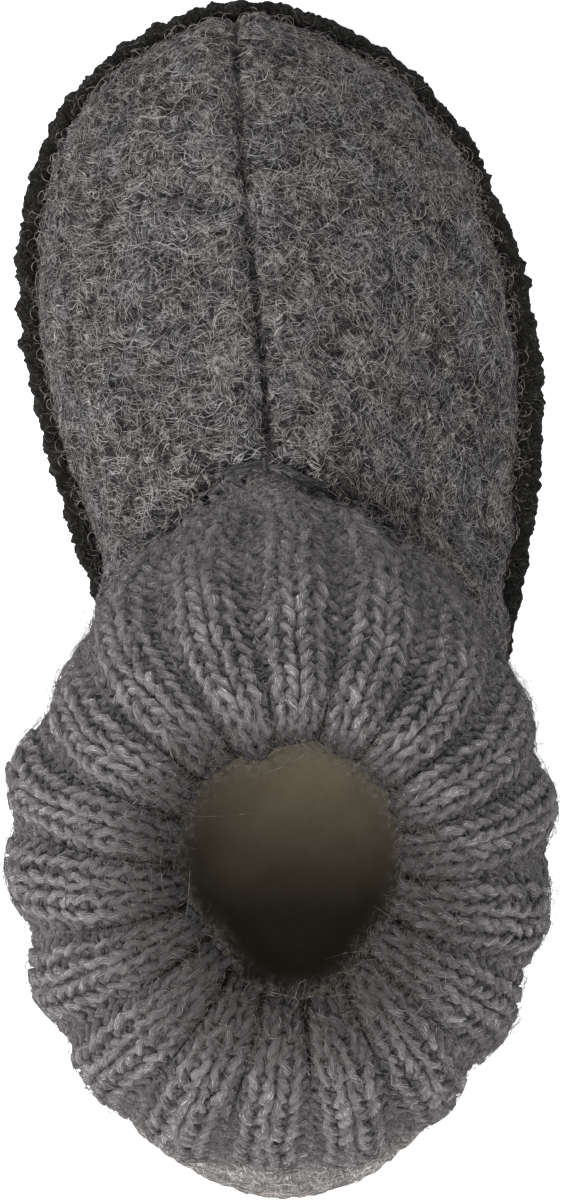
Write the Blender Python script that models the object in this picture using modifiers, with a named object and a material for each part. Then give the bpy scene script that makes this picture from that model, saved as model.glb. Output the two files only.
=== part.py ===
"""House slipper for a right foot: a boiled-wool upper on a thin rubber sole, with a rib-knit ankle cuff.

The toe points along +Y and the outer side of the foot is +X. The origin is on the floor, at half the
slipper's length. The pieces are the rubber outsole, the felt insole, the crocheted edging that runs
round the sole, the felt upper and the knitted cuff.
"""
import bmesh
import bpy
import numpy as np

# Driving sizes, in metres.
LENGTH = 0.2528            # over the crocheted edging
BALL_WIDTH = 0.1124        # over the crocheted edging
INSTEP_HEIGHT = 0.0640     # where the cuff begins, above the floor
TOE_SPRING = 0.0050
ARCH_LIFT = 0.0015
SOLE_THICKNESS = 0.0033
SOLE_INSET = 0.0020        # the rubber stops this far inside the edging
EDGING_WIDTH = 0.0052
EDGING_HEIGHT = 0.0072
FELT = 0.0040              # wall of the upper
FOOTBED = 0.0045           # thickness of the insole
KNIT = 0.0070              # wall of the cuff, a doubled rib knit
KNIT_STEP = 0.0015         # the knit stands this far proud of the felt at their seam
RIBS = 18
RIB_SWELL = 0.0012
FIT = 0.0003               # gap between neighbouring pieces
WALL_GAP = 0.0005          # gap between the edging and the felt wall, which leans out above it
SEAM_GAP = 0.0005          # gap between felt and knit along the collar

AROUND = 80                # points round the sole outline
UPPER_ROWS = 13            # rows from sole to collar
CUFF_AROUND = 4 * RIBS
CUFF_ROWS = 10             # rows from collar to mouth, past a first short row
CUFF_FIRST_ROW = 0.0015    # keeps the cuff's lower edge square to the felt
EDGING_SIDES = 8

# Where the sole touches the floor, along Y: a heel pad and a ball pad.
HEEL_PAD_FRONT = -0.18 * LENGTH
BALL_PAD_BACK = 0.09 * LENGTH
BALL_PAD_FRONT = 0.31 * LENGTH

# Outline of the edging seen from above, counter-clockwise from the toe.
# station: across (of ball width), along (of length)
OUTLINE = {
    "toe tip": (-0.080, 0.500),
    "toe inner": (-0.288, 0.465),
    "big toe": (-0.437, 0.395),
    "big toe side": (-0.490, 0.320),
    "inner ball": (-0.500, 0.253),
    "inner waist front": (-0.471, 0.162),
    "inner waist": (-0.408, 0.061),
    "inner waist back": (-0.353, -0.012),
    "arch": (-0.329, -0.119),
    "inner heel front": (-0.340, -0.237),
    "inner heel": (-0.350, -0.344),
    "inner heel corner": (-0.248, -0.455),
    "heel back": (0.000, -0.500),
    "outer heel corner": (0.248, -0.455),
    "outer heel": (0.351, -0.344),
    "outer heel front": (0.367, -0.229),
    "outer waist": (0.409, -0.119),
    "outer waist front": (0.455, -0.008),
    "outer ball": (0.499, 0.127),
    "little toe": (0.477, 0.249),
    "little toe front": (0.405, 0.344),
    "toe outer": (0.276, 0.430),
    "toe outer tip": (0.071, 0.488),
}

# Walls of the upper. Each runs from the sole outline at a station up to the collar.
# station: collar across (of ball width), collar along (of length), then of instep height: collar
# height, rise of the wall before it turns in, outward bulge and brow (run of the slope into the
# collar), and the slope there in degrees
WALLS = {
    "toe tip": (-0.021, 0.096, 1.000, 0.60, 0.02, 0.80, 16),
    "toe inner": (-0.048, 0.095, 0.998, 0.57, 0.02, 0.78, 17),
    "big toe": (-0.076, 0.092, 0.994, 0.52, 0.02, 0.70, 18),
    "inner ball": (-0.118, 0.082, 0.978, 0.44, 0.03, 0.52, 23),
    "inner waist front": (-0.165, 0.061, 0.942, 0.39, 0.04, 0.38, 33),
    "inner waist": (-0.231, 0.031, 0.855, 0.34, 0.04, 0.27, 48),
    "inner waist back": (-0.306, -0.009, 0.728, 0.27, 0.05, 0.20, 66),
    "arch": (-0.334, -0.119, 0.645, 0.22, 0.06, 0.19, 84),
    "inner heel front": (-0.331, -0.237, 0.648, 0.22, 0.08, 0.19, 86),
    "inner heel": (-0.306, -0.340, 0.695, 0.24, 0.08, 0.20, 80),
    "inner heel corner": (-0.212, -0.425, 0.780, 0.25, 0.11, 0.22, 72),
    "heel back": (0.000, -0.4445, 0.840, 0.36, 0.20, 0.26, 60),
    "outer heel corner": (0.212, -0.425, 0.780, 0.25, 0.11, 0.22, 72),
    "outer heel": (0.311, -0.340, 0.695, 0.24, 0.08, 0.20, 80),
    "outer heel front": (0.344, -0.229, 0.640, 0.22, 0.08, 0.19, 86),
    "outer waist": (0.378, -0.119, 0.618, 0.22, 0.06, 0.19, 82),
    "outer waist front": (0.368, -0.022, 0.670, 0.26, 0.05, 0.20, 66),
    "outer ball": (0.245, 0.023, 0.820, 0.34, 0.04, 0.30, 46),
    "little toe": (0.116, 0.064, 0.945, 0.42, 0.03, 0.50, 26),
    "little toe front": (0.067, 0.080, 0.978, 0.48, 0.02, 0.64, 20),
    "toe outer": (0.034, 0.089, 0.990, 0.54, 0.02, 0.74, 18),
    "toe outer tip": (0.002, 0.095, 0.998, 0.58, 0.02, 0.79, 16),
}

# Rings of the cuff above its seam, each an oval round its own middle, in metres.
# ring: middle across, middle along, half width, reach forward, reach back,
# height at the front, at the sides and at the back
CUFF_RINGS = {
    "swell": (0.0005, -0.0450, 0.0475, 0.0620, 0.0680, 0.0760, 0.0600, 0.0660),
    "bulge": (-0.0002, -0.0450, 0.0505, 0.0540, 0.0630, 0.0880, 0.0800, 0.0830),
    "shoulder": (0.0004, -0.0465, 0.0435, 0.0400, 0.0500, 0.1050, 0.1020, 0.1040),
    "crest": (0.0015, -0.0480, 0.0290, 0.0290, 0.0320, 0.1160, 0.1155, 0.1170),
    "mouth": (0.0014, -0.0485, 0.0190, 0.0215, 0.0220, 0.1145, 0.1140, 0.1155),
}


def closed_spline(knots, rows, at):
    """Read a closed cubic spline: rows at rising knots, whose last knot comes back to the first row."""
    rows = np.asarray(rows, float)
    count = len(rows)
    span = np.diff(knots)
    before = np.roll(span, 1)
    slope = (np.roll(rows, -1, axis=0) - rows) / span[:, None]
    system = np.diag(2 * (before + span))
    for i in range(count):
        system[i, i - 1] += span[i]
        system[i, (i + 1) % count] += before[i]
    pull = 3 * (span[:, None] * np.roll(slope, 1, axis=0) + before[:, None] * slope)
    tangent = np.linalg.solve(system, pull)
    at = np.mod(at, knots[-1])
    i = np.clip(np.searchsorted(knots, at, side="right") - 1, 0, count - 1)
    j = (i + 1) % count
    t = ((at - knots[i]) / span[i])[:, None]
    h = span[i][:, None]
    return (rows[i] * (1 + 2 * t) * (1 - t) ** 2 + tangent[i] * h * t * (1 - t) ** 2
            + rows[j] * t ** 2 * (3 - 2 * t) - tangent[j] * h * t ** 2 * (1 - t))


def inward(ring):
    """Unit directions in plan that point into a counter-clockwise ring."""
    along = np.roll(ring, -1, axis=0) - np.roll(ring, 1, axis=0)
    normal = np.stack([-along[:, 1], along[:, 0]], axis=1)
    return normal / np.linalg.norm(normal, axis=1)[:, None]


def outline_knots():
    """Distance round the outline at each station, and the whole way round as the last value."""
    rows = np.array(list(OUTLINE.values())) * (BALL_WIDTH, LENGTH)
    steps = np.linalg.norm(np.roll(rows, -1, axis=0) - rows, axis=1)
    return np.concatenate([[0.0], np.cumsum(steps)])


def outline(inset, at):
    """Points of the sole outline in plan, drawn in by an inset."""
    rows = np.array(list(OUTLINE.values())) * (BALL_WIDTH, LENGTH)
    ring = closed_spline(outline_knots(), rows, at)
    return ring + inset * inward(ring)


def places_round(count):
    """Even places round the outline."""
    return np.arange(count) * outline_knots()[-1] / count


def lift(y):
    """Height of the sole's underside above the floor: flat pads, a low arch and the toe spring."""
    across_arch = np.clip((y - HEEL_PAD_FRONT) / (BALL_PAD_BACK - HEEL_PAD_FRONT), 0, 1)
    past_ball = np.clip((y - BALL_PAD_FRONT) / (LENGTH / 2 - BALL_PAD_FRONT), 0, 1)
    return ARCH_LIFT * np.sin(np.pi * across_arch) ** 2 + TOE_SPRING * past_ball ** 2


def collar(at):
    """Collar line: its points, the direction of the felt as it arrives there and its outward normal."""
    knots = outline_knots()
    station = {name: knots[i] for i, name in enumerate(OUTLINE)}
    wall_knots = np.array([station[name] for name in WALLS] + [knots[-1]])
    table = closed_spline(wall_knots, list(WALLS.values()), at)
    points = table[:, :3] * (BALL_WIDTH, LENGTH, INSTEP_HEIGHT)
    inside = inward(points[:, :2])
    slope = np.radians(table[:, 6])
    heading = np.column_stack([inside * np.cos(slope)[:, None], np.sin(slope)])
    normal = np.column_stack([-inside * np.sin(slope)[:, None], np.cos(slope)])
    rise, bulge, brow = (table[:, 3:6] * INSTEP_HEIGHT).T
    return points, heading, normal, rise, bulge, brow


def upper_surface():
    """Outer face of the upper: rows of points from the sole edge up to the collar."""
    at = places_round(AROUND)
    plan = outline(EDGING_WIDTH + WALL_GAP, at)
    into = inward(plan)
    foot = np.column_stack([plan, lift(plan[:, 1]) + SOLE_THICKNESS + FIT])
    top, heading, _, rise, bulge, brow = collar(at)
    upright = foot + np.column_stack([0 * plan, 0.55 * rise])
    knee = foot + np.column_stack([-into * bulge[:, None], rise])
    shoulder = top - heading * brow[:, None]
    rows = []
    for t in np.linspace(0, 1, UPPER_ROWS + 1):
        rows.append(foot * (1 - t) ** 4 + upright * 4 * t * (1 - t) ** 3 + knee * 6 * t ** 2 * (1 - t) ** 2
                    + shoulder * 4 * t ** 3 * (1 - t) + top * t ** 4)
    return np.array(rows)


def cuff_surface():
    """Outer face of the cuff: rows of points from its seam on the collar up to the mouth."""
    fine = places_round(20 * AROUND)
    seam, heading, normal, *_ = collar(fine)
    seam = seam + heading * SEAM_GAP + normal * KNIT_STEP
    middle = np.array(CUFF_RINGS["bulge"][:2])
    bearing = np.unwrap(np.arctan2(seam[:, 1] - middle[1], seam[:, 0] - middle[0]))
    angle = bearing[0] + np.arange(CUFF_AROUND) * 2 * np.pi / CUFF_AROUND
    wrap = np.append(bearing, bearing[0] + 2 * np.pi)

    def at_angle(values):
        return np.column_stack([np.interp(angle, wrap, np.append(v, v[0])) for v in values.T])

    rings = [at_angle(seam)]
    for cx, cy, half, ahead, behind, z_front, z_side, z_back in CUFF_RINGS.values():
        side, run = np.cos(angle), np.sin(angle)
        height = z_side + np.where(run > 0, z_front - z_side, z_back - z_side) * run ** 2
        rings.append(np.column_stack([cx + half * side, cy + np.where(run > 0, ahead, behind) * run, height]))
    rings = np.array(rings)
    reach = np.concatenate([[0.0], np.cumsum(np.linalg.norm(np.diff(rings, axis=0), axis=2).mean(axis=1))])
    slope = np.gradient(rings, reach, axis=0)
    slope[0] = at_angle(heading)
    rows = []
    for s in [0.0, *np.linspace(CUFF_FIRST_ROW, reach[-1], CUFF_ROWS)]:
        i = min(np.searchsorted(reach, s, side="right") - 1, len(reach) - 2)
        h = reach[i + 1] - reach[i]
        t = (s - reach[i]) / h
        row = (rings[i] * (1 + 2 * t) * (1 - t) ** 2 + slope[i] * h * t * (1 - t) ** 2
               + rings[i + 1] * t ** 2 * (3 - 2 * t) - slope[i + 1] * h * t ** 2 * (1 - t))
        swell = RIB_SWELL * np.sin(np.pi * s / reach[-1]) * np.cos(RIBS * (angle - angle[0]))
        outward = np.column_stack([np.cos(angle), np.sin(angle), np.zeros(CUFF_AROUND)])
        rows.append(row + outward * swell[:, None])
    return np.array(rows)


def material(name, colour, roughness):
    """Principled material for one piece."""
    made = bpy.data.materials.new(name)
    made.use_nodes = True
    shader = made.node_tree.nodes["Principled BSDF"]
    shader.inputs["Base Color"].default_value = (*colour, 1.0)
    shader.inputs["Roughness"].default_value = roughness
    shader.inputs["Metallic"].default_value = 0.0
    return made


def add_object(name, data, look, collection):
    """Put a mesh or curve in the collection with its material."""
    made = bpy.data.objects.new(name, data)
    made.data.materials.append(look)
    collection.objects.link(made)
    return made


def ring_mesh(name, rows):
    """Open surface through closed rings of points, faces outward when the rings rise."""
    levels, count, _ = rows.shape
    number = np.arange(levels * count).reshape(levels, count)
    ahead = np.roll(number, -1, axis=1)
    faces = np.stack([number[:-1], ahead[:-1], ahead[1:], number[1:]], axis=-1).reshape(-1, 4)
    mesh = bpy.data.meshes.new(name)
    mesh.from_pydata(rows.reshape(-1, 3).tolist(), [], faces.tolist())
    mesh.shade_smooth()
    return mesh


def thicken(thing, wall):
    """Give an open surface its wall, grown inward."""
    solid = thing.modifiers.new("Wall", "SOLIDIFY")
    solid.thickness = wall
    solid.offset = -1.0
    solid.use_even_offset = True
    solid.use_rim = True


def flat_piece(name, inset, underside, thickness, look, collection):
    """Sheet cut to the sole outline, sliced across its length and bent to the sole's underside."""
    curve = bpy.data.curves.new(name + " outline", "CURVE")
    curve.dimensions = "2D"
    curve.fill_mode = "BOTH"
    curve.extrude = thickness / 2
    spline = curve.splines.new("POLY")
    ring = outline(inset, places_round(AROUND))
    spline.points.add(len(ring) - 1)
    for point, (x, y) in zip(spline.points, ring):
        point.co = (x, y, 0.0, 1.0)
    spline.use_cyclic_u = True
    drawn = bpy.data.objects.new(name + " outline", curve)
    collection.objects.link(drawn)
    mesh = bpy.data.meshes.new_from_object(drawn.evaluated_get(bpy.context.evaluated_depsgraph_get()))
    bpy.data.objects.remove(drawn)
    bpy.data.curves.remove(curve)
    mesh.name = name
    mesh.materials.clear()

    sheet = bmesh.new()
    sheet.from_mesh(mesh)
    bmesh.ops.remove_doubles(sheet, verts=sheet.verts, dist=0.00002)
    bmesh.ops.dissolve_limit(sheet, angle_limit=0.0005, verts=sheet.verts, edges=sheet.edges)
    arch_cuts = np.linspace(HEEL_PAD_FRONT, BALL_PAD_BACK, 7)
    toe_cuts = np.linspace(BALL_PAD_FRONT, LENGTH / 2, 6)[:-1]
    for y in np.concatenate([arch_cuts, toe_cuts]):
        everything = sheet.verts[:] + sheet.edges[:] + sheet.faces[:]
        bmesh.ops.bisect_plane(sheet, geom=everything, dist=1e-6, plane_co=(0, y, 0), plane_no=(0, 1, 0))
    for vert in sheet.verts:
        vert.co.z += underside + thickness / 2 + float(lift(vert.co.y))
    bmesh.ops.recalc_face_normals(sheet, faces=sheet.faces)
    sheet.to_mesh(mesh)
    sheet.free()
    return add_object(name, mesh, look, collection)


def build_outsole(collection):
    """Rubber sheet sole with a small chamfer round both edges."""
    look = material("Sole rubber", (0.022, 0.021, 0.020), 0.85)
    outsole = flat_piece("outsole", SOLE_INSET, 0.0, SOLE_THICKNESS, look, collection)
    chamfer = outsole.modifiers.new("Edge", "BEVEL")
    chamfer.width = 0.0006
    chamfer.segments = 1
    chamfer.limit_method = "ANGLE"
    chamfer.angle_limit = np.radians(60)


def build_insole(collection):
    """Felt footbed that fills the floor inside the upper's walls."""
    look = material("Footbed felt", (0.200, 0.160, 0.105), 0.95)
    inset = EDGING_WIDTH + WALL_GAP + FELT + FIT
    flat_piece("insole", inset, SOLE_THICKNESS + FIT, FOOTBED, look, collection)


def build_edging(collection, guides):
    """Crocheted edging: an oval cord swept round the sole, standing on the rubber's rim."""
    profile = bpy.data.curves.new("Edging section", "CURVE")
    section = profile.splines.new("POLY")
    section.points.add(EDGING_SIDES - 1)
    for i, point in enumerate(section.points):
        turn = -2 * np.pi * i / EDGING_SIDES
        point.co = (EDGING_WIDTH / 2 * np.cos(turn), EDGING_HEIGHT / 2 * np.sin(turn), 0.0, 1.0)
    section.use_cyclic_u = True
    guide = bpy.data.objects.new("Edging section", profile)
    guide.hide_render = True
    guide.display_type = "WIRE"
    guides.objects.link(guide)

    path = bpy.data.curves.new("edge_binding", "CURVE")
    path.dimensions = "3D"
    path.twist_mode = "Z_UP"
    path.bevel_mode = "OBJECT"
    path.bevel_object = guide
    spline = path.splines.new("POLY")
    ring = outline(EDGING_WIDTH / 2, places_round(AROUND))
    spline.points.add(len(ring) - 1)
    for point, (x, y) in zip(spline.points, ring):
        point.co = (x, y, float(lift(y)) + SOLE_THICKNESS + FIT + EDGING_HEIGHT / 2, 1.0)
    spline.use_cyclic_u = True
    add_object("edge_binding", path, material("Edging wool", (0.020, 0.018, 0.017), 0.95), collection)


def build_upper(collection):
    """Boiled-wool upper, open at the collar and underneath."""
    look = material("Boiled wool", (0.105, 0.095, 0.094), 0.95)
    upper = add_object("upper", ring_mesh("upper", upper_surface()), look, collection)
    thicken(upper, FELT)


def build_cuff(collection):
    """Rib-knit cuff, drawn in to a small mouth with a rounded rim."""
    look = material("Cuff yarn", (0.125, 0.115, 0.116), 0.95)
    mesh = ring_mesh("knit_cuff", cuff_surface())
    weight = mesh.attributes.new("bevel_weight_edge", "FLOAT", "EDGE")
    rim = CUFF_ROWS * CUFF_AROUND
    for edge in mesh.edges:
        weight.data[edge.index].value = 1.0 if min(edge.vertices) >= rim else 0.0
    cuff = add_object("knit_cuff", mesh, look, collection)
    thicken(cuff, KNIT)
    rounding = cuff.modifiers.new("Rim", "BEVEL")
    rounding.width = 0.0022
    rounding.segments = 2
    rounding.limit_method = "WEIGHT"


def main():
    """Clear the scene and build the slipper."""
    for thing in list(bpy.data.objects):
        bpy.data.objects.remove(thing)
    slipper = bpy.data.collections.new("Slipper")
    guides = bpy.data.collections.new("Guides")
    bpy.context.scene.collection.children.link(slipper)
    bpy.context.scene.collection.children.link(guides)
    build_outsole(slipper)
    build_insole(slipper)
    build_edging(slipper, guides)
    build_upper(slipper)
    build_cuff(slipper)


main()
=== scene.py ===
"""Looks of a boiled-wool house slipper for the right foot, with a rib-knit ankle cuff.

Lengths are in metres. The toe points along +Y and the outer side of the foot is +X. Each piece is a
surface worked out from the shoe's own sizes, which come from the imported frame.
"""

import functools

import bmesh
import bpy
import numpy as np
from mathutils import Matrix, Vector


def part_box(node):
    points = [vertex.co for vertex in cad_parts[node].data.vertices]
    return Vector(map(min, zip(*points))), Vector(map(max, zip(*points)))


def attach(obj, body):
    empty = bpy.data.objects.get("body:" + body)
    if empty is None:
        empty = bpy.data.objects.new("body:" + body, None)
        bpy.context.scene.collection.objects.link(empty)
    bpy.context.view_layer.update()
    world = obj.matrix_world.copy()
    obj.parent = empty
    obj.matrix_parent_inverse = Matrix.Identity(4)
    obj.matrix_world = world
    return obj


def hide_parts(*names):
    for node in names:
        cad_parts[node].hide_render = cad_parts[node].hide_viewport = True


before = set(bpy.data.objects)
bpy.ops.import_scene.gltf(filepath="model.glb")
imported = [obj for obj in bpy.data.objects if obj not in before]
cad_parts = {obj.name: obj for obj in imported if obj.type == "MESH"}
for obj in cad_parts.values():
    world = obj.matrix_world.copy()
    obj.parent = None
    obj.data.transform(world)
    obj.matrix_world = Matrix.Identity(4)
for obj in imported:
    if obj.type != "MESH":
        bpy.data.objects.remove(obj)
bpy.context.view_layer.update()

# ---- Rubber outsole -------------------------------------------------------------------------------
# A thin black rubber sheet cut to the shape of the foot. It is flat under heel and ball, with a low
# arch and a little toe spring, and small round studs are moulded on its underside.

edging_low, edging_high = (np.array(corner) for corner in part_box("edge_binding"))
sole_low = np.array(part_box("outsole")[0])
LENGTH = edging_high[1] - edging_low[1]
BALL_WIDTH = edging_high[0] - edging_low[0]
SOLE_THICKNESS = 0.0033
SOLE_INSET = sole_low[1] - edging_low[1]
ARCH_LIFT = 0.0015
TOE_SPRING = 0.0050
STUD_HEIGHT = 0.0005
STUD_RADIUS = 0.0013
STUD_PITCH = 0.0058
STUD_SIDES = 8
STUD_CLEARANCE = 2.2 * STUD_RADIUS
STUD_LINES = 40
# Where studs stand, from and to, as shares of the length.
STUD_FIELDS = {"heel": (-0.50, -0.20), "ball": (0.09, 0.44)}
RIM_STEPS = 900
MERGE = 0.00001
LAY_SHIFT = 37.0

# Outline of the edging from above, counter-clockwise: across (of ball width), along (of length).
OUTLINE = {
    "toe tip": (-0.080, 0.500),
    "toe inner": (-0.288, 0.465),
    "big toe": (-0.437, 0.395),
    "big toe side": (-0.490, 0.320),
    "inner ball": (-0.500, 0.253),
    "inner waist front": (-0.471, 0.162),
    "inner waist": (-0.408, 0.061),
    "inner waist back": (-0.353, -0.012),
    "arch": (-0.329, -0.119),
    "inner heel front": (-0.340, -0.237),
    "inner heel": (-0.350, -0.344),
    "inner heel corner": (-0.248, -0.455),
    "heel back": (0.000, -0.500),
    "outer heel corner": (0.248, -0.455),
    "outer heel": (0.351, -0.344),
    "outer heel front": (0.367, -0.229),
    "outer waist": (0.409, -0.119),
    "outer waist front": (0.455, -0.008),
    "outer ball": (0.499, 0.127),
    "little toe": (0.477, 0.249),
    "little toe front": (0.405, 0.344),
    "toe outer": (0.276, 0.430),
    "toe outer tip": (0.071, 0.488),
}


def hermite(t, span, start, end, leaving, arriving):
    """Cubic over a span at shares t of it: its ends weigh (1 + 2t)(1 - t)^2 and t^2(3 - 2t), and its
    slopes there, times the span, weigh t(1 - t)^2 and -t^2(1 - t)."""
    return (start * (1 + 2 * t) * (1 - t) ** 2 + leaving * span * t * (1 - t) ** 2
            + end * t ** 2 * (3 - 2 * t) - arriving * span * t ** 2 * (1 - t))


def closed_spline(knots, rows, at):
    """Closed cubic through rows at rising knots: tangents solve the equal-curvature system, and each
    span is the Hermite cubic of its two rows and tangents."""
    rows = np.asarray(rows, float)
    count = len(rows)
    span = np.diff(knots)
    before = np.roll(span, 1)
    slope = (np.roll(rows, -1, axis=0) - rows) / span[:, None]
    system = np.diag(2 * (before + span))
    here = np.arange(count)
    system[here, here - 1] += span
    system[here, (here + 1) % count] += before
    pull = 3 * (span[:, None] * np.roll(slope, 1, axis=0) + before[:, None] * slope)
    tangent = np.linalg.solve(system, pull)
    at = np.mod(at, knots[-1])
    i = np.clip(np.searchsorted(knots, at, side="right") - 1, 0, count - 1)
    j = (i + 1) % count
    share = ((at - knots[i]) / span[i])[:, None]
    return hermite(share, span[i][:, None], rows[i], rows[j], tangent[i], tangent[j])


def inward(ring):
    """Unit directions in plan that point into a counter-clockwise ring: its tangent turned left."""
    along = np.roll(ring, -1, axis=0) - np.roll(ring, 1, axis=0)
    normal = np.stack([-along[:, 1], along[:, 0]], axis=1)
    return normal / np.linalg.norm(normal, axis=1)[:, None]


outline_rows = np.array(list(OUTLINE.values())) * (BALL_WIDTH, LENGTH)
outline_steps = np.linalg.norm(np.roll(outline_rows, -1, axis=0) - outline_rows, axis=1)
outline_knots = np.concatenate([[0.0], np.cumsum(outline_steps)])


def outline(inset, at):
    """Points of the sole's outline in plan, drawn in along its own normals by an inset."""
    ring = closed_spline(outline_knots, outline_rows, at)
    return ring + inset * inward(ring)


def places_round(count):
    """Even places round the outline, as distances from the toe."""
    return np.arange(count) * outline_knots[-1] / count


def ramp(value, start, run):
    """Straight ramp: 0 up to `start`, and 1 from one `run` further on."""
    return np.clip((value - start) / run, 0, 1)


def lift(y):
    """Height of the sole's underside: a sine-squared arch between the pads and a square-law toe."""
    heel_front, ball_back, ball_front = -0.18 * LENGTH, 0.09 * LENGTH, 0.31 * LENGTH
    across_arch = ramp(y, heel_front, ball_back - heel_front)
    past_ball = ramp(y, ball_front, LENGTH / 2 - ball_front)
    return ARCH_LIFT * np.sin(np.pi * across_arch) ** 2 + TOE_SPRING * past_ball ** 2


def piece(name, points, *face_sets, lay=None):
    """Smooth mesh object in the scene, from points and arrays of faces. `lay` holds the UV place of
    each face's corners, in the same order."""
    mesh = bpy.data.meshes.new(name)
    faces = [face for part in face_sets for face in part.tolist()]
    mesh.from_pydata(points.reshape(-1, 3).tolist(), [], faces)
    mesh.shade_smooth()
    if lay is not None:
        laid = mesh.uv_layers.new(name="Lay")
        laid.data.foreach_set("uv", np.asarray(lay, np.float32).reshape(-1))
    made = bpy.data.objects.new(name, mesh)
    bpy.context.scene.collection.objects.link(made)
    return made


def note(thing, name, values):
    """Give a mesh object one number per point, for its material to read."""
    noted = thing.data.attributes.new(name, "FLOAT", "POINT")
    noted.data.foreach_set("value", np.asarray(values, np.float32).ravel())


def unit(vectors):
    """Vectors scaled to length one, along the last axis."""
    return vectors / np.maximum(np.linalg.norm(vectors, axis=-1, keepdims=True), 1e-12)


def close_edges(thing):
    """Merge points that lie together and drop the faces that this closes up to nothing."""
    sewn = bmesh.new()
    sewn.from_mesh(thing.data)
    bmesh.ops.remove_doubles(sewn, verts=sewn.verts, dist=MERGE)
    bmesh.ops.dissolve_degenerate(sewn, edges=sewn.edges, dist=MERGE)
    sewn.to_mesh(thing.data)
    sewn.free()


def rounding(edge, radius):
    """Quarter-round drop at an edge: none at `radius` from it, and the whole radius at the edge."""
    near = np.clip(1 - edge / radius, 0, 1)
    return radius * (1 - np.sqrt(1 - near ** 2))


def sole_sheet(name, inset, under, over, along=96, across=30):
    """Closed sheet cut to the outline. Cross lines run from edge to edge, at places along the sole
    that go as a cosine; `under` and `over` give heights from place and distance to the edge."""
    ring = outline(inset, places_round(RIM_STEPS))
    toe = np.argmax(ring[:, 1])
    ring = np.roll(ring, -toe, axis=0)
    heel = np.argmin(ring[:, 1])
    inner, outer = ring[:heel + 1][::-1], np.vstack([ring[heel:], ring[:1]])
    y = np.interp(np.cos(np.linspace(np.pi, 0, along + 1)), [-1, 1], [ring[heel, 1], ring[0, 1]])
    left = np.interp(y, inner[:, 1], inner[:, 0])
    right = np.interp(y, outer[:, 1], outer[:, 0])
    part = (1 + np.sin(np.linspace(-0.5, 0.5, across + 1) * np.pi)) / 2
    x = left[:, None] + (right - left)[:, None] * part
    y = np.repeat(y[:, None], across + 1, axis=1)
    plan = np.stack([x, y], axis=-1)
    edge = np.linalg.norm(plan[:, :, None] - ring[::3], axis=3).min(axis=2)
    edge[:, [0, -1]] = 0
    edge[[0, -1]] = 0
    sides = np.stack([np.dstack([plan, height(x, y, edge)]) for height in (over, under)])
    number = np.arange(x.size).reshape(x.shape)
    top = np.stack([number[:-1, :-1], number[:-1, 1:], number[1:, 1:], number[1:, :-1]], axis=-1)
    made = piece(name, sides, top.reshape(-1, 4), top.reshape(-1, 4)[:, ::-1] + x.size)
    close_edges(made)
    return made


def strand_piece(name, paths, radii, outward, sides, closed=False):
    """Object made of round strands along paths (strand, point, xyz): at each point a ring of its
    radius about the tangent, begun on the side away from `outward`. Its UV lay holds millimetres
    along, begun further on for each strand, and turns round. Open strands get end caps."""
    ahead = np.roll(paths, -1, axis=1) - np.roll(paths, 1, axis=1) if closed else np.gradient(paths, axis=1)
    ahead = unit(ahead)
    across = unit(np.cross(ahead, outward))
    upward = np.cross(across, ahead)[:, :, None]
    turn = (2 * np.pi * np.arange(sides) / sides + np.pi)[:, None]
    spokes = np.cos(turn) * upward + np.sin(turn) * across[:, :, None]
    points = paths[:, :, None] + radii[:, :, None, None] * spokes
    number = np.arange(points[..., 0].size).reshape(points.shape[:3])
    after = np.roll(number, -1, axis=1)
    step = np.linalg.norm(np.roll(paths, -1, axis=1) - paths, axis=2) * 1000
    begin = LAY_SHIFT * np.arange(len(paths))[:, None]
    far = np.cumsum(step, axis=1)
    near, far = far - step + begin, far + begin
    if not closed:
        number, after, near, far = number[:, :-1], after[:, :-1], near[:, :-1], far[:, :-1]
    quads = np.stack([number, np.roll(number, -1, 2), np.roll(after, -1, 2), after], axis=-1).reshape(-1, 4)
    here = np.broadcast_to(near[:, :, None], number.shape)
    there = np.broadcast_to(far[:, :, None], number.shape)
    round_it = np.broadcast_to(np.arange(sides) / sides, number.shape)
    next_round = round_it + 1 / sides
    lay = np.stack([here, round_it, here, next_round, there, next_round, there, round_it], axis=-1)
    lay = lay.reshape(-1, 2)
    if closed:
        return piece(name, points, quads, lay=lay)
    caps = np.vstack([number[:, 0, ::-1], after[:, -1]])
    return piece(name, points, quads, caps, lay=np.vstack([lay, np.zeros((caps.size, 2))]))


half_sole = (SOLE_THICKNESS - STUD_HEIGHT) / 2
outsole = sole_sheet(
    "rubber_sole", SOLE_INSET,
    lambda x, y, edge: lift(y) + STUD_HEIGHT + rounding(edge, half_sole),
    lambda x, y, edge: lift(y) + SOLE_THICKNESS - rounding(edge, half_sole))

# Studs stand in offset rows under heel and ball, and stop short of the edge.
lines = np.arange(-STUD_LINES, STUD_LINES + 1)
stud_x, stud_y = np.meshgrid(lines * STUD_PITCH, lines * STUD_PITCH * np.sqrt(0.75))
stud_x = stud_x + STUD_PITCH / 2 * (np.arange(len(lines)) % 2)[:, None]
studs = np.stack([stud_x.ravel(), stud_y.ravel()], axis=1)
rim = outline(SOLE_INSET, places_round(240))
from_rim = studs[:, None] - np.vstack([rim, rim[:1]])
round_stud = np.unwrap(np.arctan2(from_rim[..., 1], from_rim[..., 0]))
inside = np.abs(round_stud[:, -1] - round_stud[:, 0]) > np.pi
clear = np.linalg.norm(from_rim, axis=2).min(axis=1) > STUD_CLEARANCE
along = studs[:, 1] / LENGTH
on_pads = sum((along > back) & (along < front) for back, front in STUD_FIELDS.values())
studs = studs[inside & clear & (on_pads > 0)]
stud_heights = np.array([1.6, 0.3, 0.0]) * STUD_HEIGHT
stud_paths = np.dstack([np.repeat(studs[:, None], 3, axis=1), lift(studs[:, 1])[:, None] + stud_heights])
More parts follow.
